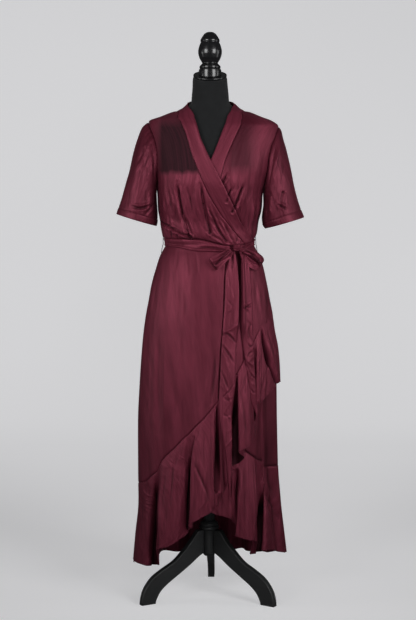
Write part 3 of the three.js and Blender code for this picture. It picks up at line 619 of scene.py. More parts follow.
def node(tree, kind, **values):
    n = tree.nodes.new(kind)
    for k, v in values.items():
        if k in n.inputs:
            n.inputs[k].default_value = v
        else:
            setattr(n, k, v)
    return n


def ramp(tree, source, stops):
    r = tree.nodes.new("ShaderNodeValToRGB")
    tree.links.new(source, r.inputs[0])
    e = r.color_ramp.elements
    while len(e) < len(stops):
        e.new(0.5)
    for x, (at, colour) in zip(e, stops):
        x.position = at
        x.color = (*colour, 1)
    return r


def blend_colour(tree, fac, a, b, mode="MIX"):
    n = tree.nodes.new("ShaderNodeMix")
    n.data_type = "RGBA"
    n.blend_type = mode
    for socket, value in ((n.inputs[0], fac), (n.inputs[6], a), (n.inputs[7], b)):
        if isinstance(value, bpy.types.NodeSocket):
            tree.links.new(value, socket)
        elif isinstance(value, (int, float)):
            socket.default_value = value
        else:
            socket.default_value = (*value, 1)
    return n.outputs[2]


def maths(tree, operation, a, b=0.0, clamp=False):
    n = tree.nodes.new("ShaderNodeMath")
    n.operation, n.use_clamp = operation, clamp
    for socket, value in ((n.inputs[0], a), (n.inputs[1], b)):
        if isinstance(value, bpy.types.NodeSocket):
            tree.links.new(value, socket)
        else:
            socket.default_value = value
    return n.outputs[0]


def noise(tree, vector, scale, detail=3.0, rough=0.55):
    n = node(tree, "ShaderNodeTexNoise", Scale=scale, Detail=detail, Roughness=rough)
    tree.links.new(vector, n.inputs["Vector"])
    return n.outputs["Fac"]


def stretched(tree, vector, scale):
    n = tree.nodes.new("ShaderNodeMapping")
    n.inputs["Scale"].default_value = scale
    tree.links.new(vector, n.inputs["Vector"])
    return n.outputs["Vector"]


def bump(tree, height, distance, strength=1.0, onto=None):
    n = node(tree, "ShaderNodeBump", Strength=strength, Distance=distance)
    tree.links.new(height, n.inputs["Height"])
    if onto is not None:
        tree.links.new(onto, n.inputs["Normal"])
    return n.outputs["Normal"]


SATIN_DEEP, SATIN_BRIGHT = (0.076, 0.0112, 0.0205), (0.124, 0.0196, 0.0355)


def satin(name, deep=SATIN_DEEP, bright=SATIN_BRIGHT, shadow_zone=False, crumple=0.25, streaks=1.0):
    """Burgundy satin: long slubs along the threads, faint crinkle, a soft coloured sheen."""
    m, tree, bsdf = material(name)
    uv = tree.nodes.new("ShaderNodeUVMap")
    uv.uv_map = "UVMap"
    slub = noise(tree, stretched(tree, uv.outputs[0], (520, 26, 1)), 1.0, 4.0, 0.6)
    cross = noise(tree, stretched(tree, uv.outputs[0], (40, 620, 1)), 1.0, 3.0, 0.6)
    soft = noise(tree, stretched(tree, uv.outputs[0], (30, 7, 1)), 1.0, 3.0, 0.5)
    streak = noise(tree, stretched(tree, uv.outputs[0], (175, 5.5, 1)), 1.0, 4.0, 0.62)
    tone = maths(tree, "ADD", maths(tree, "MULTIPLY", slub, 0.22), maths(tree, "MULTIPLY", soft, 0.78 - 0.45 * streaks))
    tone = maths(tree, "ADD", tone, maths(tree, "MULTIPLY", streak, 0.45 * streaks))
    colour = ramp(tree, tone, [(0.38, deep), (0.62, bright)]).outputs[0]
    if shadow_zone:
        # painted shade: the upper chest, most of all on the left, is painted dark, and the right chest below the band
        # is painted darker too
        place = tree.nodes.new("ShaderNodeTexCoord").outputs["Object"]
        split = tree.nodes.new("ShaderNodeSeparateXYZ")
        tree.links.new(place, split.inputs[0])
        x, z = split.outputs[0], split.outputs[2]
        wave = maths(tree, "MULTIPLY", noise(tree, stretched(tree, place, (60, 10, 8)), 1.0, 2.0), 0.020)
        low = maths(tree, "MULTIPLY", maths(tree, "SUBTRACT", maths(tree, "ADD", z, wave), 1.2525), 70.0, True)
        high = maths(tree, "ADD", maths(tree, "MULTIPLY", maths(tree, "SUBTRACT", 1.440, z), 14.0, True), 0.15, True)
        inner = maths(tree, "MULTIPLY", maths(tree, "SUBTRACT", 0.0, x), 40.0, True)
        outer = maths(tree, "MULTIPLY", maths(tree, "ADD", x, 0.161), 42.0, True)
        chest_shade = maths(tree, "MULTIPLY", maths(tree, "MULTIPLY", low, high), maths(tree, "MULTIPLY", inner, outer))
        right = maths(tree, "MULTIPLY", maths(tree, "SUBTRACT", x, 0.030), 30.0, True)
        right_out = maths(tree, "MULTIPLY", maths(tree, "SUBTRACT", 0.148, x), 22.0, True)
        fade = maths(tree, "MULTIPLY", maths(tree, "SUBTRACT", maths(tree, "ADD", z, wave), 1.250), 30.0, True)
        other = maths(tree, "MULTIPLY", maths(tree, "MULTIPLY", fade, high), maths(tree, "MULTIPLY", right, right_out))
        chest_shade = maths(tree, "MULTIPLY", chest_shade, maths(tree, "ADD", maths(tree, "MULTIPLY", streak, 0.60), 0.64), True)
        colour = blend_colour(tree, maths(tree, "MULTIPLY", other, 0.90), colour, (0.025, 0.0027, 0.0060))
        colour = blend_colour(tree, chest_shade, colour, (0.0068, 0.0030, 0.0040))
        chest_shade = maths(tree, "ADD", chest_shade, maths(tree, "MULTIPLY", other, 0.15), True)
        # the painted-dark chest is made duller too: less metallic there, and rougher below
        tree.links.new(maths(tree, "MULTIPLY", maths(tree, "SUBTRACT", 1.0, chest_shade), 0.40), bsdf.inputs["Metallic"])
    # painted shade: darker down in a crease; painted highlight: lighter along a ridge
    crease_shade_ridge_light = tree.nodes.new("ShaderNodeAttribute")
    crease_shade_ridge_light.attribute_name = "crease_shade_ridge_light"
    crease_shade_ridge_light = crease_shade_ridge_light.outputs["Fac"]
    colour = blend_colour(tree, maths(tree, "MULTIPLY", maths(tree, "MAXIMUM", maths(tree, "MULTIPLY", crease_shade_ridge_light, -1.0), 0.0), 0.40), colour, (0.215, 0.044, 0.070))
    colour = blend_colour(tree, maths(tree, "MULTIPLY", maths(tree, "MAXIMUM", crease_shade_ridge_light, 0.0), 0.93, True), colour, (0.0065, 0.0009, 0.0016))
    tree.links.new(colour, bsdf.inputs["Base Color"])
    fine = maths(tree, "ADD", maths(tree, "MULTIPLY", slub, 0.7), maths(tree, "MULTIPLY", cross, 0.3))
    n1 = bump(tree, streak, 0.0010, 0.28 * streaks, bump(tree, fine, 0.00022, 0.55))
    ridged = tree.nodes.new("ShaderNodeTexNoise")
    ridged.noise_type = "RIDGED_MULTIFRACTAL"
    for key, value in (("Scale", 1.0), ("Detail", 2.5), ("Roughness", 0.45), ("Distortion", 0.6)):
        ridged.inputs[key].default_value = value
    tree.links.new(stretched(tree, uv.outputs[0], (46, 13, 1)), ridged.inputs["Vector"])
    n1 = bump(tree, ridged.outputs["Fac"], 0.0030, crumple, n1)
    crinkle = noise(tree, stretched(tree, uv.outputs[0], (120, 46, 1)), 1.0, 3.0, 0.5)
    n2 = bump(tree, crinkle, 0.0012, 0.32, n1)
    tree.links.new(n2, bsdf.inputs["Normal"])
    rough = maths(tree, "ADD", maths(tree, "MULTIPLY", soft, 0.12), 0.42)
    if shadow_zone:
        rough = maths(tree, "ADD", rough, maths(tree, "MULTIPLY", chest_shade, 0.34))
    tree.links.new(rough, bsdf.inputs["Roughness"])
    if not shadow_zone:
        bsdf.inputs["Metallic"].default_value = 0.40
    bsdf.inputs["Specular IOR Level"].default_value = 0.35
    bsdf.inputs["Specular Tint"].default_value = (0.95, 0.38, 0.48, 1)
    bsdf.inputs["Anisotropic"].default_value = 0.35
    bsdf.inputs["Sheen Weight"].default_value = 0.03
    bsdf.inputs["Sheen Roughness"].default_value = 0.4
    bsdf.inputs["Sheen Tint"].default_value = (0.75, 0.30, 0.40, 1)
    return m


def jersey():
    """Black knitted cover: fine wales and a faint mottle."""
    m, tree, bsdf = material("jersey_knit")
    place = tree.nodes.new("ShaderNodeTexCoord").outputs["Object"]
    wales = node(tree, "ShaderNodeTexWave", Scale=260.0, Distortion=1.2, Detail=2.0)
    wales.bands_direction = "X"
    tree.links.new(place, wales.inputs["Vector"])
    rows = node(tree, "ShaderNodeTexWave", Scale=200.0, Distortion=1.0, Detail=1.0)
    rows.bands_direction = "Z"
    tree.links.new(place, rows.inputs["Vector"])
    mottle = noise(tree, place, 60.0, 5.0, 0.6)
    lint = noise(tree, place, 900.0, 2.0, 0.6)
    tone = maths(tree, "ADD", maths(tree, "MULTIPLY", mottle, 0.6), maths(tree, "MULTIPLY", lint, 0.4))
    tree.links.new(ramp(tree, tone, [(0.35, (0.0034, 0.0037, 0.0041)), (0.65, (0.0060, 0.0064, 0.0070))]).outputs[0], bsdf.inputs["Base Color"])
    knit = maths(tree, "MULTIPLY", wales.outputs["Fac"], rows.outputs["Fac"])
    tree.links.new(bump(tree, lint, 0.0004, 0.5, bump(tree, knit, 0.0003, 0.7)), bsdf.inputs["Normal"])
    bsdf.inputs["Roughness"].default_value = 0.88
    bsdf.inputs["Sheen Weight"].default_value = 0.06
    bsdf.inputs["Sheen Roughness"].default_value = 0.5
    bsdf.inputs["Specular IOR Level"].default_value = 0.25
    return m


def painted(name, dark, light, rough, coat=0.0, grain=(8, 8, 90), depth=0.0004):
    """Black paint or lacquer on wood: a faint grain under it, small unevenness on it."""
    m, tree, bsdf = material(name)
    place = tree.nodes.new("ShaderNodeTexCoord").outputs["Object"]
    wood = noise(tree, stretched(tree, place, grain), 1.6, 4.0, 0.6)
    dust = noise(tree, place, 420.0, 3.0, 0.7)
    tone = maths(tree, "ADD", maths(tree, "MULTIPLY", wood, 0.6), maths(tree, "MULTIPLY", dust, 0.4))
    tree.links.new(ramp(tree, tone, [(0.35, dark), (0.68, light)]).outputs[0], bsdf.inputs["Base Color"])
    tree.links.new(bump(tree, wood, depth, 0.35, bump(tree, dust, depth * 0.25, 0.3)), bsdf.inputs["Normal"])
    worn = maths(tree, "ADD", maths(tree, "MULTIPLY", wood, 0.10), rough - 0.05)
    tree.links.new(worn, bsdf.inputs["Roughness"])
    bsdf.inputs["Coat Weight"].default_value = coat
    bsdf.inputs["Coat Roughness"].default_value = 0.14
    return m


def thread_material():
    m, tree, bsdf = material("twisted_thread")
    place = tree.nodes.new("ShaderNodeTexCoord").outputs["Object"]
    fuzz = noise(tree, place, 1400.0, 3.0, 0.6)
    tree.links.new(ramp(tree, fuzz, [(0.3, (0.012, 0.003, 0.006)), (0.7, (0.034, 0.009, 0.016))]).outputs[0], bsdf.inputs["Base Color"])
    tree.links.new(bump(tree, fuzz, 0.0002, 0.6), bsdf.inputs["Normal"])
    bsdf.inputs["Roughness"].default_value = 0.65
    return m


SATIN = satin("satin_cloth", crumple=0.30)
# shaded copies of the same satin: painted a little darker on the hanging skirt, darker still on the sleeves
SATIN_CALM_SHADED = satin("satin_hanging", (0.068, 0.0098, 0.0182), (0.111, 0.0172, 0.0312), crumple=0.15, streaks=0.45)
SATIN_SLEEVE_SHADED = satin("satin_sleeves", (0.056, 0.0080, 0.0150), (0.094, 0.0144, 0.0262), crumple=0.62)
SATIN_LIVELY = satin("satin_handled", crumple=0.60)
SATIN_CHEST = satin("satin_chest", shadow_zone=True, crumple=0.44)
JERSEY = jersey()
LACQUER = painted("gloss_lacquer", (0.0040, 0.0040, 0.0045), (0.0068, 0.0068, 0.0074), 0.25, coat=0.12, depth=0.00012)
STAND = painted("satin_black_paint", (0.0165, 0.0170, 0.0176), (0.0240, 0.0247, 0.0256), 0.42, depth=0.0004)
THREAD = thread_material()

pieces = {}


def placed(ob, *nodes, slot="satin"):
    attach(ob, "root")
    if nodes:
        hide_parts(*nodes)
    pieces[ob.name] = ob
    return ob


# ---- creases seen in the photograph, by pixel: width, depth, lean, start, end, points ------
BODICE_CREASES = [
    # left front: waist pleats and the blousing above the belt
    (1.5, -7.0, 0.0, 0.1, 1.0, [(177, 182), (179, 198), (182, 212), (185.5, 225), (190.5, 237)]),
    (2.8, 2.6, 0.0, 0.1, 0.8, [(172.5, 190), (176, 206), (181, 222), (186, 236)]),
    (3.0, 2.0, 0.0, 0.1, 0.8, [(184, 192), (188, 208), (192, 222), (197, 236)]),
    (1.45, -7.0, 0.0, 0.2, 0.8, [(200.5, 184), (202.5, 196), (204.5, 208), (207, 219), (210, 232)]),
    (2.5, 2.2, 0.0, 0.1, 0.8, [(206.5, 196), (209.5, 210), (213, 224), (217, 238)]),
    (2.6, 1.8, 0.0, 0.1, 0.8, [(195, 190), (198, 206), (201.5, 222), (205, 236)]),
    (1.25, -6.0, 0.0, 0.3, 1.0, [(161, 221), (168, 225.5), (176, 229.5), (184, 233.5), (192, 237)]),
    (2.6, 2.6, 0.0, 0.3, 0.5, [(163, 217), (171, 221.5), (179, 226), (187, 231)]),
    (1.2, -4.2, 0.0, 0.1, 0.9, [(184, 214), (188, 224), (192.5, 235)]),
    (1.1, -3.6, 0.0, 0.1, 0.9, [(205, 200), (212, 216), (219, 230), (226, 241)]),
    (1.1, -3.2, 0.0, 0.2, 0.9, [(171.5, 228), (172.6, 238)]),
    (1.1, -2.2, 0.0, 0.2, 0.9, [(178, 231.5), (178.6, 238)]),
    (1.0, 1.6, 0.0, 0.5, 0.9, [(175, 230), (175.6, 238)]),
    (1.3, 1.7, 0.0, 0.0, 0.3, [(165, 184), (166.5, 198), (169, 211)]),
    (1.3, -1.7, 0.0, 0.0, 0.3, [(168, 186), (170, 200), (172.5, 213)]),
    (1.3, 1.3, 0.0, 0.0, 0.3, [(161.5, 180), (162.5, 196), (165, 212)]),
    (1.2, -1.2, 0.0, 0.0, 0.3, [(188, 190), (191, 205), (195, 221)]),
    (1.2, -1.1, 0.0, 0.0, 0.4, [(192, 195), (195, 209), (200, 226)]),
    # thin creases that gather to the knot
    (1.1, -2.0, 0.0, 0.1, 0.9, [(206, 211), (213, 223), (220, 233), (227, 243)]),
    (1.2, 1.6, 0.0, 0.1, 0.8, [(209, 210), (216, 221), (223, 231), (230, 242)]),
    (1.1, -2.2, 0.0, 0.1, 0.9, [(216, 219), (221, 228), (226, 237), (229, 243)]),
    (1.0, 1.5, 0.0, 0.1, 0.9, [(219, 218), (224, 227), (229, 236), (232, 244)]),
    (1.0, -1.8, 0.0, 0.1, 0.9, [(223, 222), (227, 231), (231, 239), (234, 245)]),
    (0.9, 1.2, 0.0, 0.1, 0.9, [(225.5, 221), (230, 230), (234, 239), (236, 245)]),
    (1.3, -1.6, 0.0, 0.2, 0.6, [(207, 231), (214, 236), (222, 241)]),
    # chest: faint drag lines from the shoulder
    (3.5, -1.0, 0.0, 0.2, 0.2, [(171, 126), (172, 146), (173, 166)]),
    (3.0, 0.9, 0.0, 0.2, 0.2, [(164, 128), (164, 148), (165, 166)]),
    (3.0, 0.8, 0.0, 0.2, 0.2, [(180, 128), (181, 148), (182, 166)]),
    (3.0, -0.8, 0.0, 0.2, 0.2, [(187, 136), (190, 150), (193, 164)]),
    (2.2, 1.6, 0.0, 0.2, 0.2, [(153, 140), (156, 158), (159, 176)]),
    # right front
    (1.35, -6.5, 0.0, 0.0, 1.0, [(244, 183), (240.5, 193), (236.5, 203), (232.5, 212)]),
    (1.9, 2.6, 0.0, 0.1, 0.6, [(248, 186), (243.5, 198), (238, 209), (234.5, 216)]),
    (1.2, -4.6, 0.0, 0.0, 0.9, [(232.5, 187), (229, 195), (226.8, 202)]),
    (1.8, 1.8, 0.0, 0.1, 0.6, [(236.5, 187), (233, 197), (230, 206)]),
    (1.3, -4.5, 0.0, 0.6, 0.2, [(221.5, 185), (224.5, 180), (227, 174)]),
    (1.7, 2.4, 0.0, 0.0, 0.8, [(253.5, 200), (251.5, 217), (248.5, 232), (247, 243)]),
    (1.8, -2.4, 0.0, 0.0, 0.8, [(257, 196), (256, 214), (252.5, 230), (250.5, 242)]),
    (1.8, -1.4, 0.0, 0.0, 0.8, [(247, 198), (245, 216), (242, 232), (240.5, 243)]),
    (1.6, 1.2, 0.0, 0.0, 0.8, [(243.5, 204), (241, 220), (238.5, 234), (238, 244)]),
    (1.5, -1.2, 0.0, 0.0, 0.8, [(238, 216), (237, 228), (236.5, 240)]),
    (2.6, 2.0, 0.0, 0.1, 0.2, [(261, 142), (258.5, 162), (255, 180), (252, 192)]),
    (2.6, -1.2, 0.0, 0.1, 0.2, [(252, 138), (250, 156), (248, 172)]),
    (2.8, 0.9, 0.0, 0.1, 0.2, [(244, 132), (243, 150), (241, 166)]),
    (2.6, -0.9, 0.0, 0.1, 0.2, [(236, 138), (236, 152), (234, 166)]),
    (2.2, -1.2, 0.0, 0.2, 0.2, [(266, 150), (263, 168), (260, 186)]),
]
SLEEVE_CREASES = [
    (1.6, 2.0, 0.0, 0.0, 0.1, [(281.5, 133), (279, 150), (274, 170), (270, 190)]),
    (1.8, -2.0, 0.0, 0.0, 0.1, [(277.5, 134), (274.5, 152), (271, 170), (268.5, 188)]),
    (2.0, -1.4, 0.0, 0.1, 0.1, [(285, 146), (284, 166), (281, 186), (279, 200)]),
    (2.4, 1.4, 0.0, 0.1, 0.1, [(288, 160), (289, 180), (290, 198)]),
    (1.2, -1.8, 0.0, 0.1, 0.3, [(284.5, 190), (282.5, 194), (281, 201), (282, 206)]),
    (1.0, -3.0, 0.0, 0.3, 0.2, [(278.6, 205), (281.5, 206.5), (285.5, 209.5)]),
    (1.1, 2.0, 0.0, 0.3, 0.2, [(279.5, 202.5), (283, 204), (287, 207)]),
    (1.0, -1.6, 0.0, 0.2, 0.2, [(281.5, 192.5), (285.5, 192)]),
    (1.5, -1.8, 0.0, 0.0, 0.6, [(267, 193), (267, 206), (266.5, 219)]),
    (1.5, 1.5, 0.0, 0.0, 0.6, [(271, 192), (271.5, 206), (271, 219)]),
    (1.4, -1.2, 0.0, 0.0, 0.6, [(275.5, 198), (276.5, 209), (276, 218)]),
    (1.8, 1.6, 0.0, 0.0, 0.1, [(146, 134), (149.5, 150), (151, 168), (151, 186)]),
    (1.8, -1.8, 0.0, 0.0, 0.2, [(150, 138), (153.5, 154), (154.5, 170), (154, 190)]),
    (2.2, -1.4, 0.0, 0.1, 0.1, [(142, 142), (143.5, 160), (142, 180), (139, 198)]),
    (2.4, 1.3, 0.0, 0.1, 0.1, [(137, 158), (135, 176), (131, 196)]),
    (1.2, -2.2, 0.0, 0.2, 0.2, [(131, 206), (137, 208), (143, 208), (150, 205.5)]),
    (1.3, 1.7, 0.0, 0.2, 0.2, [(132, 203), (138, 205), (145, 204.5), (151, 202)]),
    (1.2, -1.7, 0.0, 0.2, 0.2, [(146, 214), (150, 209), (154, 202)]),
    (1.3, 1.4, 0.0, 0.2, 0.2, [(142, 214), (146, 209), (151, 196)]),
    (1.6, -1.4, 0.0, 0.1, 0.4, [(147, 188), (147, 200), (146, 214)]),
]
SKIRT_CREASES = [
    (3.0, 1.6, 0.0, 0.2, 0.2, [(171, 262), (168.5, 290), (167.5, 322), (166.8, 352)]),
    (3.0, -1.2, 0.0, 0.2, 0.2, [(161, 278), (158, 306), (157, 336)]),
    (2.2, 1.3, 0.0, 0.0, 0.2, [(152.5, 318), (150.5, 346), (149.5, 376), (149.5, 402)]),
    (3.2, -2.2, 0.35, 0.0, 0.2, [(159, 330), (158.5, 360), (158.5, 394), (158.5, 432)]),
    (1.3, 1.6, 0.0, 0.0, 0.2, [(165, 330), (164.5, 362), (164.3, 396), (164, 430)]),
    (3.5, 1.0, 0.0, 0.1, 0.1, [(178, 320), (179, 352), (182, 384), (186, 410)]),
    (3.5, -1.0, 0.0, 0.1, 0.1, [(188, 290), (190, 330), (193, 370), (196, 404)]),
    (2.2, 0.9, 0.0, 0.1, 0.1, [(177, 260), (178, 286), (179, 308)]),
    (2.0, -0.9, 0.0, 0.1, 0.1, [(173.5, 262), (173.5, 286), (173, 308)]),
    (3.0, 1.0, 0.0, 0.1, 0.1, [(202, 270), (204, 310), (206, 350)]),
    (3.0, -0.9, 0.0, 0.1, 0.1, [(211, 270), (212.5, 310), (213, 350)]),
    (1.5, 1.8, 0.0, 0.1, 0.4, [(208, 374), (206, 390), (204, 404)]),
    (1.5, -2.6, 0.0, 0.1, 0.4, [(215, 350), (214.3, 372), (212.5, 390), (210.5, 403)]),
    (1.2, 1.6, 0.0, 0.1, 0.6, [(218, 366), (216.6, 384), (213.5, 400)]),
    (1.0, 1.1, 0.0, 0.1, 0.3, [(147.5, 392), (144.5, 400), (142.5, 410)]),
    (1.0, -1.1, 0.0, 0.1, 0.3, [(149.5, 394), (147, 404), (146, 416)]),
    (1.4, -1.4, 0.0, 0.5, 0.1, [(178, 252), (177, 260), (176, 272)]),
    (1.4, -1.2, 0.0, 0.5, 0.1, [(196, 254), (197, 264), (197.5, 276)]),
    (1.6, 1.2, 0.0, 0.5, 0.1, [(187, 254), (187.5, 264), (188, 280)]),
    # the skirt is pressed in beside the long tail
    (0.9, -3.4, 0.0, 0.6, 0.9, [(226.0, 262), (224.8, 290), (223.9, 315), (222.6, 335), (221.0, 352), (219.4, 385), (218.6, 398)]),
    # right hip
    (1.5, 1.4, 0.0, 0.1, 0.2, [(258.5, 286), (259.5, 300), (261.5, 318)]),
    (1.5, -1.2, 0.0, 0.1, 0.2, [(255.5, 276), (256, 296), (257, 316)]),
    (1.4, 1.1, 0.0, 0.1, 0.2, [(262.5, 276), (264, 292), (266, 312)]),
    (1.6, -1.1, 0.0, 0.1, 0.2, [(266, 286), (267.5, 304), (268.5, 322)]),
]
FLOUNCE_CREASES = [
    (1.4, 4.5, 0.0, 0.2, 0.9, [(213, 404), (213, 440), (212.6, 480), (213.5, 506)]),
    (1.5, 4.0, 0.0, 0.1, 0.8, [(223, 392), (224, 420), (224.5, 450), (226, 482)]),
    (1.8, 4.0, 0.0, 0.2, 0.9, [(264, 328), (270, 350), (275, 370), (279, 384)]),
    (1.6, 3.0, 0.0, 0.2, 0.9, [(258.2, 338), (258.4, 360), (258.6, 382), (258.2, 402)]),
    (1.3, -4.0, 0.0, 0.3, 0.9, [(254.6, 350), (255, 370), (255.2, 390), (254.6, 420)]),
    (1.5, -2.2, 0.0, 0.1, 0.2, [(193, 460), (199, 474), (205, 488), (209, 501)]),
    (1.5, 1.5, 0.0, 0.1, 0.2, [(196.5, 456), (203, 470), (208, 484)]),
    (1.3, -1.6, 0.0, 0.1, 0.2, [(241, 394), (243.5, 410), (246, 426), (248.5, 441)]),
    (1.4, -1.8, 0.0, 0.0, 0.3, [(174, 458), (172, 480), (170, 506)]),
    (1.6, 1.4, 0.0, 0.0, 0.3, [(179, 456), (178.5, 482), (178, 512)]),
    (1.5, -1.5, 0.0, 0.0, 0.3, [(166, 466), (163.5, 490), (162, 520)]),
    (1.4, 1.2, 0.0, 0.0, 0.3, [(148, 486), (147, 510), (146.5, 538)]),
    (1.4, -1.5, 0.0, 0.0, 0.3, [(144, 492), (142, 516), (140.5, 544)]),
    (1.4, -1.8, 0.0, 0.0, 0.2, [(247, 350), (248.5, 370), (250.5, 392)]),
    (1.3, 1.3, 0.0, 0.0, 0.2, [(244.5, 366), (246.5, 392), (250, 420)]),
    (1.5, 1.6, 0.0, 0.0, 0.3, [(268, 338), (271, 354), (274.5, 370), (278, 384)]),
    (1.4, -1.4, 0.0, 0.0, 0.3, [(206, 424), (203.5, 446), (202, 470)]),
    (1.3, 1.2, 0.0, 0.0, 0.3, [(210, 412), (209.5, 440), (211, 470), (213, 500)]),
]
# hollows between the large folds: width px, depth mm, lap mm of the edge beside them
FLOUNCE_TUCKS = [
    (4.4, 40.0, 3.0, 0.0, 1.0, [(157.8, 474), (155.6, 500), (154.4, 530), (153.8, 566)]),
    (1.7, 13.0, 5.0, 0.0, 1.0, [(198, 426), (192.5, 448), (190.0, 480), (188.6, 528)]),
    (2.1, 27.0, 2.5, 0.1, 0.9, [(216.5, 394), (217.5, 420), (217.8, 450), (217, 490)]),
    (3.2, 30.0, 3.5, 0.1, 1.0, [(236.5, 366), (236.2, 396), (235.8, 425), (235.5, 466)]),
    (1.9, 22.0, 1.2, 0.6, 0.0, [(261.4, 327), (263.2, 340), (266.6, 356), (270.4, 370)]),
    (1.0, 9.0, 1.0, 0.2, 0.5, [(264.8, 348), (268.4, 362), (272.4, 374), (277.0, 386)]),
]
UNDER_FLOUNCE_TUCKS = [
    (3.8, 34.0, 3.0, 0.0, 1.0, [(262.2, 485), (261.0, 508), (259.8, 528), (258.9, 554)]),
    (2.0, 13.0, 4.0, 0.2, 1.0, [(237.5, 470), (237, 492), (236, 512), (234.5, 534)]),
]
UNDER_FLOUNCE_CREASES = [
    (2.4, 3.5, 0.0, 0.1, 0.9, [(255, 470), (255.5, 496), (255.4, 520), (254.5, 538)]),
    (2.2, -8.0, 0.0, 0.3, 1.0, [(236.5, 472), (236, 492), (235, 512), (233.5, 532)]),
    (1.6, -2.0, 0.0, 0.1, 0.2, [(263, 487), (266.5, 496), (272, 507), (278, 520)]),
    (1.6, 1.6, 0.0, 0.1, 0.2, [(266.5, 484), (271, 496), (277, 509)]),
    (1.5, -1.5, 0.0, 0.0, 0.3, [(245, 462), (245.5, 490), (246, 520)]),
    (1.6, 1.5, 0.0, 0.0, 0.3, [(241.5, 466), (241, 492), (241, 522)]),
    (1.4, 1.2, 0.0, 0.0, 0.3, [(250.5, 470), (251.5, 496), (253, 526)]),
    (1.4, -1.4, 0.0, 0.0, 0.3, [(233, 474), (230, 494), (227, 512)]),
    (1.4, -1.3, 0.0, 0.0, 0.3, [(269.5, 476), (272.5, 504), (275.5, 536)]),
    (1.6, 1.2, 0.0, 0.0, 0.3, [(276, 480), (279, 508), (282, 540)]),
]
UNDER_SKIRT_CREASES = [
    (1.8, 1.5, 0.0, 0.3, 0.3, [(256.5, 404), (257, 424), (257, 444)]),
    (1.8, -1.8, 0.0, 0.3, 0.3, [(260.5, 404), (261, 426), (261.5, 450)]),
    (2.0, 1.6, 0.0, 0.3, 0.3, [(266, 402), (266.5, 426), (267.5, 456)]),
    (1.8, -1.4, 0.0, 0.3, 0.3, [(271.5, 400), (272, 426), (272.5, 458)]),
]
LONG_TAIL_CREASES = [
    (1.0, -2.6, 0.0, 0.5, 0.3, [(223, 335.5), (227, 334), (231, 336.5), (236, 343)]),
    (1.2, 2.2, 0.0, 0.6, 0.6, [(222.5, 331.5), (230, 329.8), (238, 324.5)]),
    (1.1, -2.2, 0.0, 0.5, 0.2, [(222, 345.5), (226, 350), (230, 356), (234.5, 364)]),
    (1.5, 2.0, 0.0, 0.5, 0.2, [(222, 352), (226, 362), (230, 376), (232, 388)]),
    (1.0, -1.8, 0.0, 0.5, 0.2, [(221, 371), (224.5, 379), (228.5, 390)]),
    (1.0, 1.5, 0.0, 0.4, 0.3, [(224.5, 384), (228, 394), (231, 404)]),
    (1.1, -1.4, 0.0, 0.4, 0.4, [(223, 396), (227, 400), (232, 399)]),
    (1.0, -1.2, 0.0, 0.4, 0.4, [(222, 412), (226, 416), (231, 414)]),
    (1.3, 1.2, 0.0, 0.3, 0.3, [(228, 284), (231, 292), (234, 302)]),
    (1.1, -1.3, 0.0, 0.3, 0.3, [(225.5, 296), (229, 302), (233, 306)]),
    (1.0, 1.0, 0.0, 0.3, 0.3, [(226, 312), (231, 310), (236, 306)]),
    (1.0, -1.0, 0.0, 0.3, 0.3, [(226, 268), (228.5, 278), (230, 290)]),
    (0.9, -1.8, 0.0, 0.9, 0.1, [(232.5, 256), (233, 263), (232, 272)]),
    (0.9, 1.2, 0.0, 0.9, 0.1, [(230, 256), (229.5, 264), (228, 274)]),
    (1.0, -1.2, 0.0, 0.3, 0.3, [(226, 424), (227, 446), (229, 470)]),
]
SHORT_TAIL_CREASES = [
    (1.0, -2.2, 0.0, 0.6, 0.2, [(242, 310), (246.5, 307), (252, 305)]),
    (1.1, 1.5, 0.0, 0.5, 0.2, [(242, 306), (247, 303.5), (252, 301)]),
    (1.0, -1.8, 0.0, 0.2, 0.3, [(251.5, 322), (249, 330), (250.5, 338), (253, 343)]),
    (1.0, 1.4, 0.0, 0.2, 0.3, [(247, 324), (246.5, 334), (248.5, 344)]),
    (0.9, -1.8, 0.0, 0.3, 0.4, [(248, 344), (251, 347), (254.5, 343)]),
    (0.9, -1.7, 0.0, 0.3, 0.3, [(248, 357), (250.5, 353), (253.5, 352)]),
    (0.9, 1.2, 0.0, 0.3, 0.3, [(249, 362), (252, 365), (255, 363)]),
    (0.9, -1.6, 0.0, 0.3, 0.3, [(250, 372), (252.5, 376), (256, 379)]),
    (0.9, -1.5, 0.0, 0.3, 0.3, [(251, 388), (253, 392), (256.5, 393)]),
    (0.9, 1.2, 0.0, 0.3, 0.3, [(251.5, 383), (254, 385), (256.5, 384)]),
    (1.0, 1.0, 0.0, 0.3, 0.3, [(246, 270), (247, 286), (247, 300)]),
    (0.9, -1.2, 0.0, 0.9, 0.1, [(247, 257), (247.5, 266), (247, 278)]),
]
BELT_CREASES = [
    (0.9, -2.0, 0.0, 0.2, 0.8, [(194, 249.2), (203, 247.6), (213, 248), (222, 249.6), (232, 251.5)]),
    (1.3, 1.5, 0.0, 0.2, 0.7, [(196, 246), (207, 245), (218, 246.5), (229, 249.5)]),
    (1.1, 1.2, 0.0, 0.2, 0.7, [(196, 251), (208, 250.8), (220, 251.4)]),
    (1.0, -1.4, 0.0, 0.6, 0.2, [(168, 243.5), (178, 244.6), (188, 245)]),
    (1.0, 1.0, 0.0, 0.6, 0.2, [(168, 240.5), (178, 241.5), (190, 242.3), (200, 243.4)]),
    (0.8, -1.6, 0.0, 0.5, 0.5, [(192.6, 251.6), (194.6, 252)]),
    (0.9, -1.6, 0.0, 0.8, 0.3, [(240, 249), (246, 246.2), (252, 243)]),
    (0.9, 1.2, 0.0, 0.8, 0.3, [(240, 247), (246, 244.6), (252, 241)]),
]
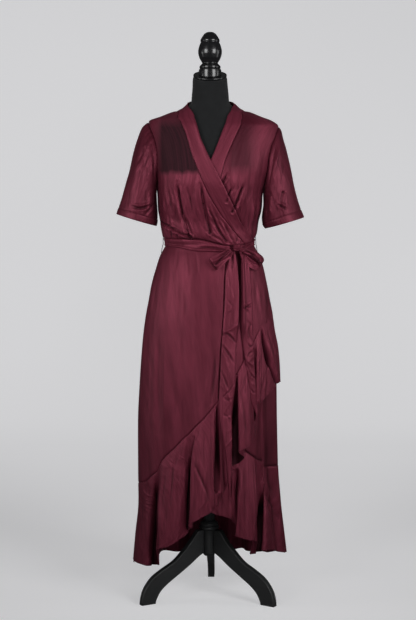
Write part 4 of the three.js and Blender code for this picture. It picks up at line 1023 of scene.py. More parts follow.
def scattered(seed, count, box, long, slope, width, depth):
    """Small uneven creases as handled satin has them: slope is how far they lean, in pixels each pixel down."""
    rng = np.random.default_rng(seed)
    rows = []
    for k in range(count):
        x, y = rng.uniform(box[0], box[2]), rng.uniform(box[1], box[3])
        size, lean = rng.uniform(*long), rng.uniform(*slope)
        bend = rng.uniform(-0.12, 0.12) * size
        deep = rng.uniform(*depth) * rng.choice([-1, 1])
        rows.append((rng.uniform(*width), deep, 0.0, 0.0, 0.0,
                     [(x - lean * size / 2, y - size / 2), (x + bend, y), (x + lean * size / 2, y + size / 2)]))
    return rows


BODICE_CREASES += scattered(3, 26, (160, 190, 200, 232), (16, 36), (0.10, 0.35), (0.8, 1.5), (0.5, 1.3))
BODICE_CREASES += scattered(4, 20, (228, 190, 256, 236), (14, 34), (-0.35, -0.05), (0.8, 1.5), (0.5, 1.3))
BODICE_CREASES += scattered(5, 16, (205, 215, 235, 244), (12, 26), (0.5, 0.8), (0.7, 1.1), (0.5, 1.2))
SLEEVE_CREASES += scattered(6, 22, (122, 140, 156, 214), (12, 34), (-0.55, -0.05), (0.9, 1.8), (0.4, 1.2))
SLEEVE_CREASES += scattered(7, 22, (264, 140, 296, 214), (12, 34), (0.05, 0.50), (0.9, 1.8), (0.4, 1.2))
SKIRT_CREASES += scattered(8, 34, (142, 262, 222, 430), (26, 80), (-0.05, 0.05), (1.0, 2.4), (0.3, 0.8))
SKIRT_CREASES += scattered(9, 12, (146, 380, 214, 450), (8, 20), (-0.9, 0.9), (0.8, 1.4), (0.3, 0.8))
FLOUNCE_CREASES += scattered(10, 46, (136, 410, 230, 556), (14, 44), (-0.22, 0.22), (0.8, 1.6), (0.5, 1.5))
FLOUNCE_CREASES += scattered(11, 20, (238, 330, 280, 440), (12, 36), (-0.10, 0.22), (0.8, 1.4), (0.4, 1.2))
UNDER_FLOUNCE_CREASES += scattered(12, 34, (212, 455, 286, 548), (12, 40), (-0.20, 0.25), (0.8, 1.6), (0.5, 1.5))
LONG_TAIL_CREASES += scattered(13, 22, (221, 330, 238, 480), (6, 20), (-0.9, 0.9), (0.7, 1.2), (0.5, 1.5))
SHORT_TAIL_CREASES += scattered(14, 18, (243, 300, 257, 405), (5, 16), (-1.2, 1.2), (0.7, 1.1), (0.5, 1.5))


# creases of the hidden back, by degrees turned to millimetres and height: the same kinds, uneven
BACK_BODICE_CREASES = [
    (8, -4.4, 0.1, 0.1, 0.9, [(-96, 1190), (-92, 1150), (-84, 1110), (-80, 1068)]),
    (10, 2.6, 0.0, 0.1, 0.8, [(-112, 1180), (-104, 1130), (-94, 1072)]),
    (8, -4.0, 0.0, 0.1, 0.9, [(-34, 1205), (-36, 1160), (-40, 1112), (-44, 1068)]),
    (10, 2.2, 0.0, 0.1, 0.8, [(-18, 1180), (-22, 1130), (-28, 1072)]),
    (8, -4.2, 0.0, 0.1, 0.9, [(40, 1198), (42, 1150), (40, 1104), (36, 1068)]),
    (10, 2.4, 0.0, 0.1, 0.8, [(58, 1175), (54, 1130), (50, 1072)]),
    (7, -3.6, 0.0, 0.1, 0.9, [(104, 1180), (98, 1140), (88, 1100), (82, 1068)]),
    (10, 2.2, 0.0, 0.1, 0.8, [(122, 1170), (114, 1120), (100, 1072)]),
    (6, -3.0, 0.0, 0.3, 0.5, [(-150, 1118), (-120, 1098), (-90, 1078)]),
    (6, -2.6, 0.0, 0.3, 0.5, [(152, 1112), (122, 1096), (96, 1078)]),
    (14, 1.2, 0.0, 0.1, 0.1, [(-90, 1400), (-60, 1330), (-52, 1260)]),
    (14, -1.2, 0.0, 0.1, 0.1, [(-40, 1400), (-30, 1330), (-28, 1250)]),
    (14, 1.2, 0.0, 0.1, 0.1, [(82, 1390), (62, 1320), (54, 1240)]),
    (14, -1.0, 0.0, 0.1, 0.1, [(30, 1410), (24, 1340), (22, 1260)]),
]
BACK_SKIRT_CREASES = [
    (14, -2.4, 0.2, 0.3, 0.2, [(-110, 1020), (-118, 860), (-122, 660), (-124, 430)]),
    (16, 2.2, 0.0, 0.3, 0.2, [(-74, 1020), (-80, 820), (-86, 600), (-92, 420)]),
    (12, -2.6, 0.0, 0.3, 0.3, [(-34, 1018), (-40, 840), (-42, 620), (-46, 400)]),
    (15, 1.8, 0.0, 0.3, 0.2, [(4, 1016), (2, 820), (-2, 600), (-8, 400)]),
    (12, -2.4, 0.0, 0.3, 0.3, [(38, 1018), (44, 850), (50, 640), (56, 400)]),
    (15, 2.0, 0.0, 0.3, 0.2, [(84, 1016), (92, 830), (98, 620), (104, 400)]),
    (13, -2.2, 0.2, 0.3, 0.2, [(128, 1014), (140, 860), (146, 640), (150, 400)]),
    (7, -2.2, 0.0, 0.8, 0.0, [(-60, 1036), (-62, 1005), (-64, 960)]),
    (7, -2.0, 0.0, 0.8, 0.0, [(-22, 1036), (-23, 1000), (-23, 950)]),
    (7, -2.1, 0.0, 0.8, 0.0, [(20, 1036), (22, 1002), (23, 966)]),
    (7, -2.2, 0.0, 0.8, 0.0, [(62, 1036), (66, 1004), (68, 950)]),
]


def front_share(n, start=0.05, full=0.35):
    """1 where a cloth faces the front, 0 behind."""
    return smooth((-n[..., 1] - start) / (full - start))


def side_creases(angle, z):
    """Soft creases for the sides, which the photograph shows only at their edge."""
    return ripples(angle * 3.2, z, [(61.0, 0.10, 0.7, 0.4), (37.0, -0.06, 0.45, 2.2)])


def moved(p, n, d):
    return p + n * d[..., None]


# ---- bodice -----------------------------------------------------------------------
def waist_seam(angle):
    """The waist seam dips where the belt dips, so that the belt covers it."""
    a = np.where(angle > 180, angle - 360, angle)
    return np.minimum(WAIST_Z, BELT.top(a) - 7.0)


def arm_edge(side, face, z):
    mid, half, front, back = ARMHOLE[side]
    t = (z - mid) / half
    return (front if face == "front" else back) * np.sqrt(np.clip(1 - t * t, 0, 1))


HALF = 0.14


def blousing(angle, z):
    """The bodice hangs a little over the belt."""
    a = np.where(angle > 180, angle - 360, angle)
    top = BELT.top(a)
    return 5.2 * smooth((top + 58 - z) / 46) * smooth((z - top + 3.5) / 8)


def shade_over_belt(x, angle, z):
    """Painted shade just over the belt, where the bodice hangs over it, most of all left of the knot."""
    most = smooth((x - 178) / 10) * smooth((226 - x) / 6)
    return (0.35 + 0.55 * most) * np.exp(-((z - BELT.top(angle) + 1.0) / mix(4.0, 8.0, most)) ** 2)


def bodice_front_outer():
    us, vs = lines(235, 2.3), lines(400, 2.5)
    u, v = np.meshgrid(us, vs)
    low = waist_seam(mix(-88, 48, u)) + SEAM
    z = mix(1427, low, v)
    left = -90 + arm_edge("left", "front", z) + HALF
    right = BAND_OUTER.sewn(z) - 0.20
    angle = mix(left, right, u)
    out = outer_out(angle, z)
    p = surf(angle, z, out)
    n = outward(angle, z)
    x, y = pixels(p)
    gone = smooth((z - 1034) / 24)
    d = crease_field(x, y, BODICE_CREASES) * gone * front_share(n)
    d = d + side_creases(angle, z) * (1 - front_share(n, 0.0, 0.6))
    fine = smooth((1290 - z) / 60) * gone
    d = d + ripples(angle * 2.6 + 0.25 * (1250 - z), z, [(23.0, 0.0, 0.40, 1.0), (13.0, 0.03, 0.22, 2.2), (41.0, -0.05, 0.45, 0.2)]) * fine
    d = np.clip(d, -7.5, 6.0) + blousing(angle, z)
    d = d + edge_roll(u, v, 235, 400, 2.0, 2.2, "u") + edge_roll(u, v, 235, 400, 1.1, 1.6, "UvV")
    # painted shade just over the belt and along the armhole edge
    dark = shade_over_belt(x, angle, z) + 0.6 * np.exp(-(u * 235 / 3.0) ** 2)
    return cloth("satin_bodice_front_outer", moved(p, n, d + FACE), SATIN_CHEST, dark=dark)


def bodice_front_under():
    us, vs = lines(240, 2.4), lines(400, 2.6)
    u, v = np.meshgrid(us, vs)
    low = waist_seam(mix(-30, 88, u)) + SEAM
    z = mix(1427, low, v)
    right = 90 - arm_edge("right", "front", z) - HALF
    left = BAND_UNDER.sewn(z) + 0.18
    angle = mix(left, right, u)
    p = surf(angle, z, np.full_like(z, INNER))
    n = outward(angle, z)
    x, y = pixels(p)
    hidden = smooth((BAND_OUTER.free(z) - angle + 1.0) / 6.0)
    d = crease_field(x, y, BODICE_CREASES) * smooth((z - 1044) / 24) * front_share(n)
    fine = smooth((1290 - z) / 60) * smooth((z - 1044) / 24)
    d = d + ripples(angle * 2.6 - 0.22 * (1250 - z), z, [(21.0, 0.0, 0.42, 0.3), (12.0, 0.02, 0.24, 1.2), (37.0, 0.05, 0.45, 1.4)]) * fine
    d = np.clip(d, -6.5, 5.0) + blousing(angle, z)
    d = d * (1 - hidden) - 2.6 * hidden
    beside = (angle - BAND_OUTER.free(z)) * 2.2
    d = d - 3.4 * np.exp(-((beside - 1.5) / 3.4) ** 2) * smooth((1300 - z) / 25) * smooth((z - 1080) / 40)
    d = d + side_creases(angle, z) * (1 - front_share(n, 0.0, 0.6))
    d = d + edge_roll(u, v, 240, 400, 2.0, 2.2, "U") + edge_roll(u, v, 240, 400, 1.1, 1.6, "uvV")
    # painted shade just over the belt, along the armhole edge and beside the outer band's free edge
    dark = shade_over_belt(x, angle, z) + 0.6 * np.exp(-((1 - u) * 240 / 3.0) ** 2)
    dark = dark + 0.75 * np.exp(-((beside - 0.6) / 1.9) ** 2) * smooth((1335 - z) / 20) * smooth((z - 1080) / 40)
    return cloth("satin_bodice_front_under", moved(p, n, d + FACE), SATIN_CHEST, dark=dark)


def bodice_back():
    us, vs = lines(370, 4.0), lines(390, 4.6)
    us, vs = np.concatenate([[-0.018, -0.009], us, [1.009, 1.018]]), np.concatenate([[-0.018, -0.009], vs])
    u, v = np.meshgrid(us, vs)
    top = mix(1432, 1437, np.sin(np.pi * np.clip(u, 0, 1)))
    z = mix(top, waist_seam(mix(90, 270, u)) + SEAM, v)
    angle = mix(90 + arm_edge("right", "back", z) + HALF, 270 - arm_edge("left", "back", z) - HALF, u)
    p = surf(angle, z, np.full_like(z, INNER))
    n = outward(angle, z)
    d = crease_field((angle - 180) * 2.3, z, BACK_BODICE_CREASES) * smooth((z - 1044) / 24)
    d = d + blousing(angle, z) + ripples((angle - 180) * 2.3, z, [(47.0, 0.12, 0.35, 0.9), (29.0, -0.2, 0.2, 2.0)])
    d = np.clip(d, -4.2, 5.0) * (v >= 0) * (u >= 0) * (u <= 1) + edge_roll(u, v, 370, 390, 1.1, 1.9) - under_lap(u, 370) - under_lap(v, 390, False)
    return cloth("satin_bodice_back", moved(p, n, d + FACE), SATIN)


def neck_band(name, table, side):
    us, vs = lines(42, 1.7), lines(470, 2.6)
    us = np.concatenate([[-0.15, -0.07], us]) if side == "outer" else np.concatenate([us, [1.07, 1.15]])
    u, v = np.meshgrid(us, vs)
    sewn_side = -1 if side == "outer" else 1
    low = waist_seam(mix(50, 74, u) if side == "outer" else mix(-56, -36, u)) + SEAM
    z = mix(1453, low, v)
    gap = np.where(z > 1430, HALF, 0.10)
    if side == "outer":
        angle = mix(table.sewn(z) + gap, table.free(z), u)
        p = surf(angle, z, outer_out(angle, z) + 0.5 * smooth((1440 - z) / 20))
        sewn = u
    else:
        angle = mix(table.free(z), table.sewn(z) - gap, u)
        p = surf(angle, z, np.full_like(z, INNER + 0.3))
        sewn = 1 - u
    n = outward(angle, z)
    x, y = pixels(p)
    d = crease_field(x, y, BODICE_CREASES) * 0.45 * smooth((z - 1044) / 24) * smooth((1245 - z) / 60)
    if side == "under":
        hidden = smooth((BAND_OUTER.free(z) - angle + 1.0) / 4.0) * smooth((1340 - z) / 20)
        d = d * (1 - hidden) - 2.6 * hidden
    else:
        d = d + crease_field(x, y, [
            (1.0, -0.9, 0.0, 0.1, 0.6, [(212, 190), (219, 204), (227, 219), (233, 234)]),
            (1.0, 0.8, 0.0, 0.1, 0.6, [(215, 186), (223, 202), (231, 219), (236, 236)]),
            (1.2, -0.9, 0.0, 0.1, 0.6, [(222, 190), (229, 204), (235, 220)]),
        ])
    # a folded band is soft and full along its free edge, pressed flat at its seam
    stand = 2.6 if side == "outer" else 1.2
    d = d + stand * np.exp(-((1 - sewn) * 42 / 9.0) ** 2) - 0.25 * np.exp(-((sewn * 42 - 5.0) / 1.2) ** 2)
    d = d + blousing(angle, z) * smooth(sewn * 42 / 3.0 + 0.8)
    d = d + edge_roll(u, v, 42, 470, 2.0, 1.7) - under_lap(sewn, 42, False, 1.6)
    return cloth(name, moved(p, n, d + FACE + 0.2), SATIN)


def neck_band_back():
    us, vs = lines(330, 2.8), lines(34, 1.7)
    us = np.concatenate([[-0.022, -0.011], us, [1.011, 1.022]])
    u, v = np.meshgrid(us, vs)
    rise = np.sin(np.pi * np.clip(u, 0, 1))
    angle = mix(90 + HALF, 270 - HALF, u)
    z = mix(mix(1455, 1467, rise), mix(1432.6, 1437.6, rise), v)
    p = surf(angle, z, np.full_like(z, INNER + 0.3))
    n = outward(angle, z)
    d = 0.6 * np.exp(-(v * 34 / 4.5) ** 2) - 0.25 * np.exp(-(((1 - v) * 34 - 5.0) / 1.2) ** 2) + edge_roll(u, v, 330, 34, 1.1, 1.5) - under_lap(u, 330)
    return cloth("satin_neck_band_back", moved(p, n, d + FACE + 0.1), SATIN)


# ---- sleeves -------------------------------------------------------------------------
def sleeve_at(side):
    rows, s = SLEEVE[side], -1 if side == "left" else 1
    mid, half, front, back = ARMHOLE[side]

    def at(u, t):
        f = 2 * np.pi * u * -s
        c, d = np.cos(f), np.sin(f)
        x = mix(rows.xi(t), rows.xo(t), (1 + c) / 2)
        z = mix(rows.zi(t), rows.zo(t), (1 + c) / 2)
        p = np.stack([x, rows.y(t) - rows.depth(t) * d, z], -1)
        z0 = mid + half * c
        edge = surf(s * (90 - np.where(d > 0, front, back) * d), z0, np.full_like(z0, INNER))
        edge[..., 0] += s * 2.6
        start = np.stack([mix(rows.xi(0), rows.xo(0), (1 + c) / 2), rows.y(0) - rows.depth(0) * d, mix(rows.zi(0), rows.zo(0), (1 + c) / 2)], -1)
        return p + (edge - start) * (1 - smooth(t / 0.5))[..., None]
    return at


def sleeve(side, part):
    at = sleeve_at(side)
    hem, gap = 1 - SLEEVE_HEM / 230, SEAM / 230
    long = 230 * (hem - gap) if part == "sleeve" else SLEEVE_HEM
    lo, hi = (0.0, hem - gap * 0.5) if part == "sleeve" else (hem, 1.0)
    us = np.linspace(0, 1, 161)[:-1]
    vs = lines(long, 2.6 if part == "sleeve" else 1.3)
    u, v = np.meshgrid(us, vs)
    t = mix(lo, hi + (0.028 if part == "sleeve" else 0.0), v)
    p = at(u, t)
    p[..., 0] -= (-1 if side == "left" else 1) * 5.5 * np.exp(-(t * 230 / 2.4) ** 2)
    n = normals(p, True)
    c = np.stack([mix(SLEEVE[side].xi(t), SLEEVE[side].xo(t), 0.5), SLEEVE[side].y(t), mix(SLEEVE[side].zi(t), SLEEVE[side].zo(t), 0.5)], -1)
    if ((p - c) * n).sum() < 0:
        n = -n
    x, y = pixels(p)
    fs = front_share(n)
    d = crease_field(x, y, SLEEVE_CREASES) * fs * (1.45 if part == "sleeve" else 0.3)
    a = u * 2 * np.pi
    # gathers at the head, deeper over the shoulder, and long folds on the hidden half
    head = np.exp(-(t / 0.13) ** 2) * (0.35 + 0.65 * smooth((np.cos(a) + 0.2) / 0.8))
    d = d + 1.1 * head * np.sin(37 * a / 1.0 + 2.2 * np.sin(3 * a)) * np.sin(a * 1.5 + 0.6) ** 2
    d = d + (1 - fs) * (1.5 * np.sin(5 * a + 4 * t) + 0.9 * np.sin(8 * a - 3 * t + 1.0)) * smooth(t / 0.3)
    d = d + 0.5 * np.sin(3 * a + 1.2) * smooth(t / 0.6)
    d = np.clip(d, -4.0, 4.2)
    if part == "sleeve":
        d = d + edge_roll(u, v, 1e6, long, 1.8, 2.2, "v") - 2.0 * smooth((t - hi + 0.003) / 0.009)
    else:
        d = d + 0.9 + edge_roll(u, v, 1e6, long, 0.8, 1.1, "vV") - 0.3 * np.exp(-((v * long - 2.0) / 0.8) ** 2)
    q = moved(p, n, d + FACE * 0.6)
    # painted shade along the armhole seam and on the sleeve's inner side next to the body
    armhole_seam_shade = 0.75 * np.exp(-(t * 230 / 3.2) ** 2) * (part == "sleeve")
    inner_side_shade = smooth((x - 150.5) / 5) * smooth((y - 176) / 16) if side == "left" else smooth((268 - x) / 5) * smooth((y - 182) / 16)
    armhole_seam_shade = np.maximum(armhole_seam_shade, 0.72 * inner_side_shade * fs)
    ob = cloth(f"satin_{part}_{side}" if part == "sleeve" else f"satin_sleeve_hem_{side}", q, SATIN_SLEEVE_SHADED, around=True, axis=c, dark=armhole_seam_shade)
    return ob, q, n


# ---- skirt -------------------------------------------------------------------------------
def flounce(rows, layer, ends):
    n = len(rows) - 1
    us = np.arange(n + 1) / n

    def edge(k):
        out = []
        for i, r in enumerate(rows):
            if i == 0 and ends[0] is not None:
                out.append(ends[0])
                continue
            if i == n and ends[1] is not None:
                out.append(ends[1])
                continue
            a = r[k] / 3
            for _ in range(6):
                a = float(angle_of(r[k], r[k + 1], float(layer(a, r[k + 1])) + (r[5] if k == 3 else 0)))
            out.append(a)
        return out
    seam_a, seam_z = spline(us, edge(1)), spline(us, [r[2] for r in rows])
    hem_a, hem_z, out = spline(us, edge(3)), spline(us, [r[4] for r in rows]), spline(us, [r[5] for r in rows])

    def at(u, v, gain=1.0):
        angle = mix(seam_a(u), hem_a(u), v)
        z = mix(seam_z(u) - 1.2 * SEAM, hem_z(u), v)
        return angle, z, layer(angle, z) + gain * out(u) * np.sin(np.pi / 2 * np.clip(v, 0, 1)) ** 0.9
    return at, seam_a, seam_z


OUTER_AT, OUTER_SEAM_A, OUTER_SEAM_Z = flounce(FLOUNCE_OUTER, outer_out, (-90 + HALF, 97))
UNDER_AT, UNDER_SEAM_A, UNDER_SEAM_Z = flounce(FLOUNCE_UNDER, under_out, (None, 90 - HALF))


def gathers(run, down, reach, high=1.0, phase=0.0):
    """Small puckers that run down from a gathered seam; run is mm along it, down mm from it."""
    uneven = run + 6.0 * np.sin(run / 47.0 + phase) + 3.5 * np.sin(run / 19.0 + 2 * phase)
    strength = 0.65 + 0.35 * np.sin(run / 31.0 + 1.3 + phase)
    long = reach * (0.8 + 0.4 * np.sin(run / 13.0 + phase))
    return high * strength * (np.sin(2 * np.pi * uneven / 11.0) + 0.5 * np.sin(2 * np.pi * uneven / 6.7 + 1.0)) * np.exp(-(np.maximum(down, 0) / long) ** 1.3)


def between_tails(x, y):
    """The skirt is pressed back behind the gap between the two tails; the same mask paints shade into the gap."""
    wide = 2.6 + 1.3 * smooth((285 - y) / 30)
    return np.exp(-((x - 240.2) / wide) ** 2) * smooth((y - 247) / 8) * smooth((335 - y) / 40)


def skirt_front_outer():
    us, vs = lines(620, 3.3), lines(700, 5.2)
    u, v = np.meshgrid(us, vs)
    a = OUTER_SEAM_A(u)
    top = waist_seam(mix(-90, 89, u)) - SEAM
    z = mix(top, OUTER_SEAM_Z(u), v)
    angle = mix(mix(-90 + HALF, 89, u), a, smooth(v * 1.5))
    p = surf(angle, z, outer_out(angle, z))
    n = outward(angle, z)
    x, y = pixels(p)
    fs = front_share(n)
    d = crease_field(x, y, SKIRT_CREASES) * fs
    d = d + ripples(angle * 3.0, z, [(33.0, 0.05, 0.30, 0.4), (57.0, -0.03, 0.45, 1.9), (19.0, 0.02, 0.14, 0.9)]) * smooth((1015 - z) / 120)
    d = d + side_creases(angle, z) * (1 - fs)
    down = (z - OUTER_SEAM_Z(u))
    d = d + gathers(u * 720, down, 20.0, 0.30, 0.7)
    d = np.clip(d, -3.6, 4.0) - 7.5 * between_tails(x, y) + edge_roll(u, v, 620, 700, 1.1, 2.4)
    # painted shade in the gap between the tails
    return cloth("satin_skirt_front_outer", moved(p, n, d + FACE), SATIN_CALM_SHADED, dark=0.95 * between_tails(x, y))


def skirt_front_under():
    us, vs = lines(400, 4.6), lines(620, 6.4)
    u, v = np.meshgrid(us, vs)
    a = UNDER_SEAM_A(u)
    z = mix(waist_seam(mix(-38, 90, u)) - SEAM, UNDER_SEAM_Z(u), v)
    angle = mix(mix(-38, 90 - HALF, u), a, smooth(v * 1.5))
    p = surf(angle, z, under_out(angle, z))
    n = outward(angle, z)
    x, y = pixels(p)
    d = crease_field(x, y, UNDER_SKIRT_CREASES) * front_share(n)
    d = d + ripples(angle * 3.0, z, [(51.0, 0.05, 0.8, 1.1), (31.0, -0.04, 0.5, 0.3)]) * smooth((760 - z) / 120)
    d = np.clip(d, -3.0, 3.0) - 1.4 * smooth((z - 800) / 60) - 5.6 * between_tails(x, y) + edge_roll(u, v, 400, 620, 1.0, 2.4)
    # painted shade: the whole under panel a little darker, and darker again along its lower seam
    return cloth("satin_skirt_front_under", moved(p, n, d + FACE), SATIN_CALM_SHADED, dark=0.16 + 0.6 * np.exp(-((1 - v) * 620 / 5.0) ** 2), deepen=0.3)


def skirt_back():
    us, vs = lines(560, 4.6), lines(680, 7.0)
    us = np.concatenate([[-0.014, -0.007], us, [1.007, 1.014]])
    u, v = np.meshgrid(us, vs)
    angle = mix(90 + HALF, 270 - HALF, u)
    z = mix(waist_seam(angle) - SEAM, mix(393, 340, u), v)
    p = surf(angle, z, np.full_like(z, INNER))
    n = outward(angle, z)
    d = crease_field((angle - 180) * 2.4, z, BACK_SKIRT_CREASES) * smooth((1046 - z) / 12)
    d = d + ripples(angle * 3.0, z, [(43.0, 0.03, 0.5, 0.5), (27.0, -0.04, 0.28, 1.4)]) * smooth((1000 - z) / 140)
    d = d + gathers(u * 640, z - mix(393, 340, u), 22.0, 0.35, 2.0)
    d = d * smooth(np.minimum(u, 1 - u) / 0.03) + edge_roll(u, v, 560, 680, 1.1, 2.4) - under_lap(u, 560)
    # painted shade along the lower seam
    return cloth("satin_skirt_back", moved(p, n, np.clip(d, -4.0, 4.5) + FACE), SATIN, dark=0.7 * np.exp(-((1 - v) * 680 / 5.0) ** 2))


def flounce_sheet(name, at, wide, tall, table, folds, phase, gain=1.0, cell=2.9):
    us, vs = lines(wide, cell), np.concatenate([[-0.030, -0.015], lines(tall, 4.6)])
    u, v = np.meshgrid(us, vs)
    angle, z, out = at(u, np.maximum(v, 0), gain)
    z = z + np.maximum(-v, 0) * tall
    p = surf(angle, z, out)
    n = normals(p)
    if ((p - np.stack([BODY.cx(z), 0 * z, z], -1)) * n).sum() < 0:
        n = -n
    x, y = pixels(p)
    d = crease_field(x, y, table) * front_share(n, 0.0, 0.25) * smooth(v / 0.12)
    d = d + gathers(u * wide * 0.75, v * tall, 30.0, 0.55, phase)
    d = d + ripples(u * wide, z, [(37.0, 0.0, 0.5, 0.4 + phase), (23.0, 0.0, 0.3, 1.1 + phase)]) * smooth(v / 0.3)
    # the hem's narrow turn-up and its slight flutter
    d = d - 0.35 * np.exp(-(((1 - v) * tall - 7.0) / 1.3) ** 2)
    d = d + edge_roll(u, v, wide, tall, 0.9, 2.0, "uUv") - 0.9 * np.exp(-(v * tall / 3.0) ** 2) - under_lap(v, tall, False)
    deep, aside = tucks(x, y, folds)
    fs = front_share(n, 0.0, 0.25) * smooth(v / 0.10)
    d = d + deep * fs
    if at is OUTER_AT:
        d = np.maximum(d, np.minimum(0.0, under_out(angle, z) + 3.5 - out))
    # the flounce's last panel hangs behind its lip, out of the light
    edge = 261.6 + (y - 328) * 0.26
    end_shade = 0.16 * smooth((x - 258.6) / 1.5) * smooth((edge - x) / 1.5) * smooth((y - 338) / 12) * (at is OUTER_AT)
    q = moved(p, n, d + FACE)
    level = unit(np.cross(n, np.array([0.0, 0.0, 1.0])))
    level = level * np.sign(level[..., :1] + 1e-9)
    q = q + level * (aside * fs)[..., None]
    q[..., 2] += 1.6 * np.sin(u * wide / 21.0 + phase) * smooth((v - 0.8) / 0.2)
    # painted shade in the deep hollows, on the last panel behind the lip, and along the under flounce's top seam
    return cloth(name, q, SATIN_LIVELY, dark=np.clip(-deep * fs / 20.0, 0, 1) + end_shade + 0.6 * np.exp(-(v * tall / 4.0) ** 2) * (at is UNDER_AT), deepen=1.0 if at is OUTER_AT else 0.5), q, n


def flounce_back_sheet():
    us, vs = lines(760, 3.6), lines(270, 5.2)
    us, vs = np.concatenate([[-0.012, -0.006], us, [1.006, 1.012]]), np.concatenate([[-0.034, -0.017], vs])
    u, v = np.meshgrid(us, vs)
    angle = mix(90 + HALF, 270 - HALF, u)
    top = mix(393, 340, u) - SEAM
    z = mix(top, BACK_HEM.z(angle), v)
    uneven = u + 0.012 * np.sin(2 * np.pi * u * 2.3 + 0.8)
    out = INNER + BACK_DEPTH * np.sin(2 * np.pi * BACK_FOLDS * uneven) * np.sin(np.pi * np.clip(u, 0, 1)) ** 0.35 * np.maximum(v, 0) ** 0.8
    p = surf(angle, z, out)
    n = normals(p)
    if ((p - np.stack([BODY.cx(z), 0 * z, z], -1)) * n).sum() < 0:
        n = -n
    d = gathers(u * 640, v * 270, 32.0, 0.6, 3.0)
    d = d + ripples(u * 760, z, [(41.0, 0.05, 0.7, 1.0), (26.0, -0.04, 0.4, 2.0)]) * smooth(v / 0.3) * np.sin(np.pi * np.clip(u, 0, 1)) ** 0.5
    d = d - 0.35 * np.exp(-(((1 - v) * 270 - 7.0) / 1.3) ** 2) + edge_roll(u, v, 760, 270, 0.9, 2.0, "uUv") - under_lap(u, 760, deep=2.6) - under_lap(v, 270, False, 2.6)
    q = moved(p, n, d + FACE)
    # painted shade along the top seam
    return cloth("satin_flounce_back", q, SATIN_LIVELY, dark=0.7 * np.exp(-(v * 270 / 5.0) ** 2)), q, n


# ---- belt, knot, bow and tails ---------------------------------------------------------
def belt():
    us, vs = lines(800, 2.8), lines(30, 1.5)
    u, v = np.meshgrid(us, vs)
    a = mix(KNOT_TO, 360 + KNOT_FROM, u)
    angle = np.where(a > 180, a - 360, a)
    z = mix(BELT.top(angle), BELT.low(angle), v)
    p = surf(angle, z, BELT.out(angle))
    n = outward(angle, z)
    x, y = pixels(p)
    d = crease_field(x, y, BELT_CREASES) * front_share(n)
    back = 1 - front_share(n, 0.0, 0.3)
    d = d + back * (0.7 * np.sin(v * 9 + 0.02 * a) * np.sin(a / 23.0) ** 2 + 0.4 * np.sin(v * 17 + a / 17.0))
    d = d + 1.0 * np.exp(-((v * 30 - 3.5) / 3.0) ** 2) + 1.2 * np.exp(-(((1 - v) * 30 - 3.5) / 3.0) ** 2)
    d = d + edge_roll(u, v, 800, 30, 2.6, 1.7, "vV")
    return cloth("satin_belt", moved(p, n, d + FACE + 1.4 * front_share(n, 0.0, 0.3)), SATIN_LIVELY)


def on_skirt(x, z, out):
    return surf(angle_of(x, z, out), z, out)


def knot():
    c = on_skirt(np.array(KNOT["x"], float), np.array(KNOT["z"], float), np.array(KNOT["out"], float))
    e = np.linspace(0.06, np.pi - 0.06, 40)
    f = np.linspace(0, 2 * np.pi, 64, endpoint=False)
    ee, ff = np.meshgrid(e, f, indexing="ij")
    ux, uy, uz = np.sin(ee) * np.cos(ff), np.sin(ee) * np.sin(ff), np.cos(ee)
    # a flattened pillow, wrapped by one turn of gathered cloth that runs down to the left
    across = uz + 0.28 * np.cos(2.6 * ux) - 0.1
    wrap = 1.0 + 0.085 * np.cos(8.5 * across + 0.4) + 0.045 * np.cos(15.0 * across - 1.0 + 1.5 * ux) - 0.12 * smooth((np.abs(ux) - 0.60) / 0.3)
    q = np.stack([1.16 * KNOT["wide"] * ux * wrap, (KNOT["deep"] + 1.2) * uy * wrap, 0.80 * KNOT["tall"] * uz * wrap], -1)
    t = math.radians(KNOT_TURN)
    p = c + np.array([2.0, 0, 3.0]) + np.stack([q[..., 0] * math.cos(t) - q[..., 2] * math.sin(t), q[..., 1], q[..., 0] * math.sin(t) + q[..., 2] * math.cos(t)], -1)
    nv, nu = p.shape[:2]
    verts = np.concatenate([p.reshape(-1, 3), [p[0].mean(0)], [p[-1].mean(0)]])
    faces = []
    for j in range(nv - 1):
        for i in range(nu):
            i2 = (i + 1) % nu
            faces.append((j * nu + i, (j + 1) * nu + i, (j + 1) * nu + i2, j * nu + i2))
    for i in range(nu):
        i2 = (i + 1) % nu
        faces.append((len(verts) - 2, i, i2))
        faces.append((len(verts) - 1, (nv - 1) * nu + i2, (nv - 1) * nu + i))
    me = bpy.data.meshes.new("satin_belt_knot")
    me.from_pydata([tuple(q) for q in (verts - ORIGIN) / 1000], [], faces)
    me.update()
    uv = me.uv_layers.new(name="UVMap")
    loops = np.zeros(len(me.loops), np.int32)
    me.loops.foreach_get("vertex_index", loops)
    flat = np.stack([(verts[:, 0] - c[0]) / 1000, (verts[:, 2] - c[2]) / 1000], -1)
    uv.data.foreach_set("uv", flat[loops].astype(np.float32).ravel())
    me.polygons.foreach_set("use_smooth", np.ones(len(me.polygons), bool))
    ob = bpy.data.objects.new("satin_belt_knot", me)
    bpy.context.scene.collection.objects.link(ob)
    me.materials.append(SATIN)
    bm = bmesh.new()
    bm.from_mesh(me)
    bmesh.ops.recalc_face_normals(bm, faces=bm.faces)
    bm.to_mesh(me)
    bm.free()
    return ob


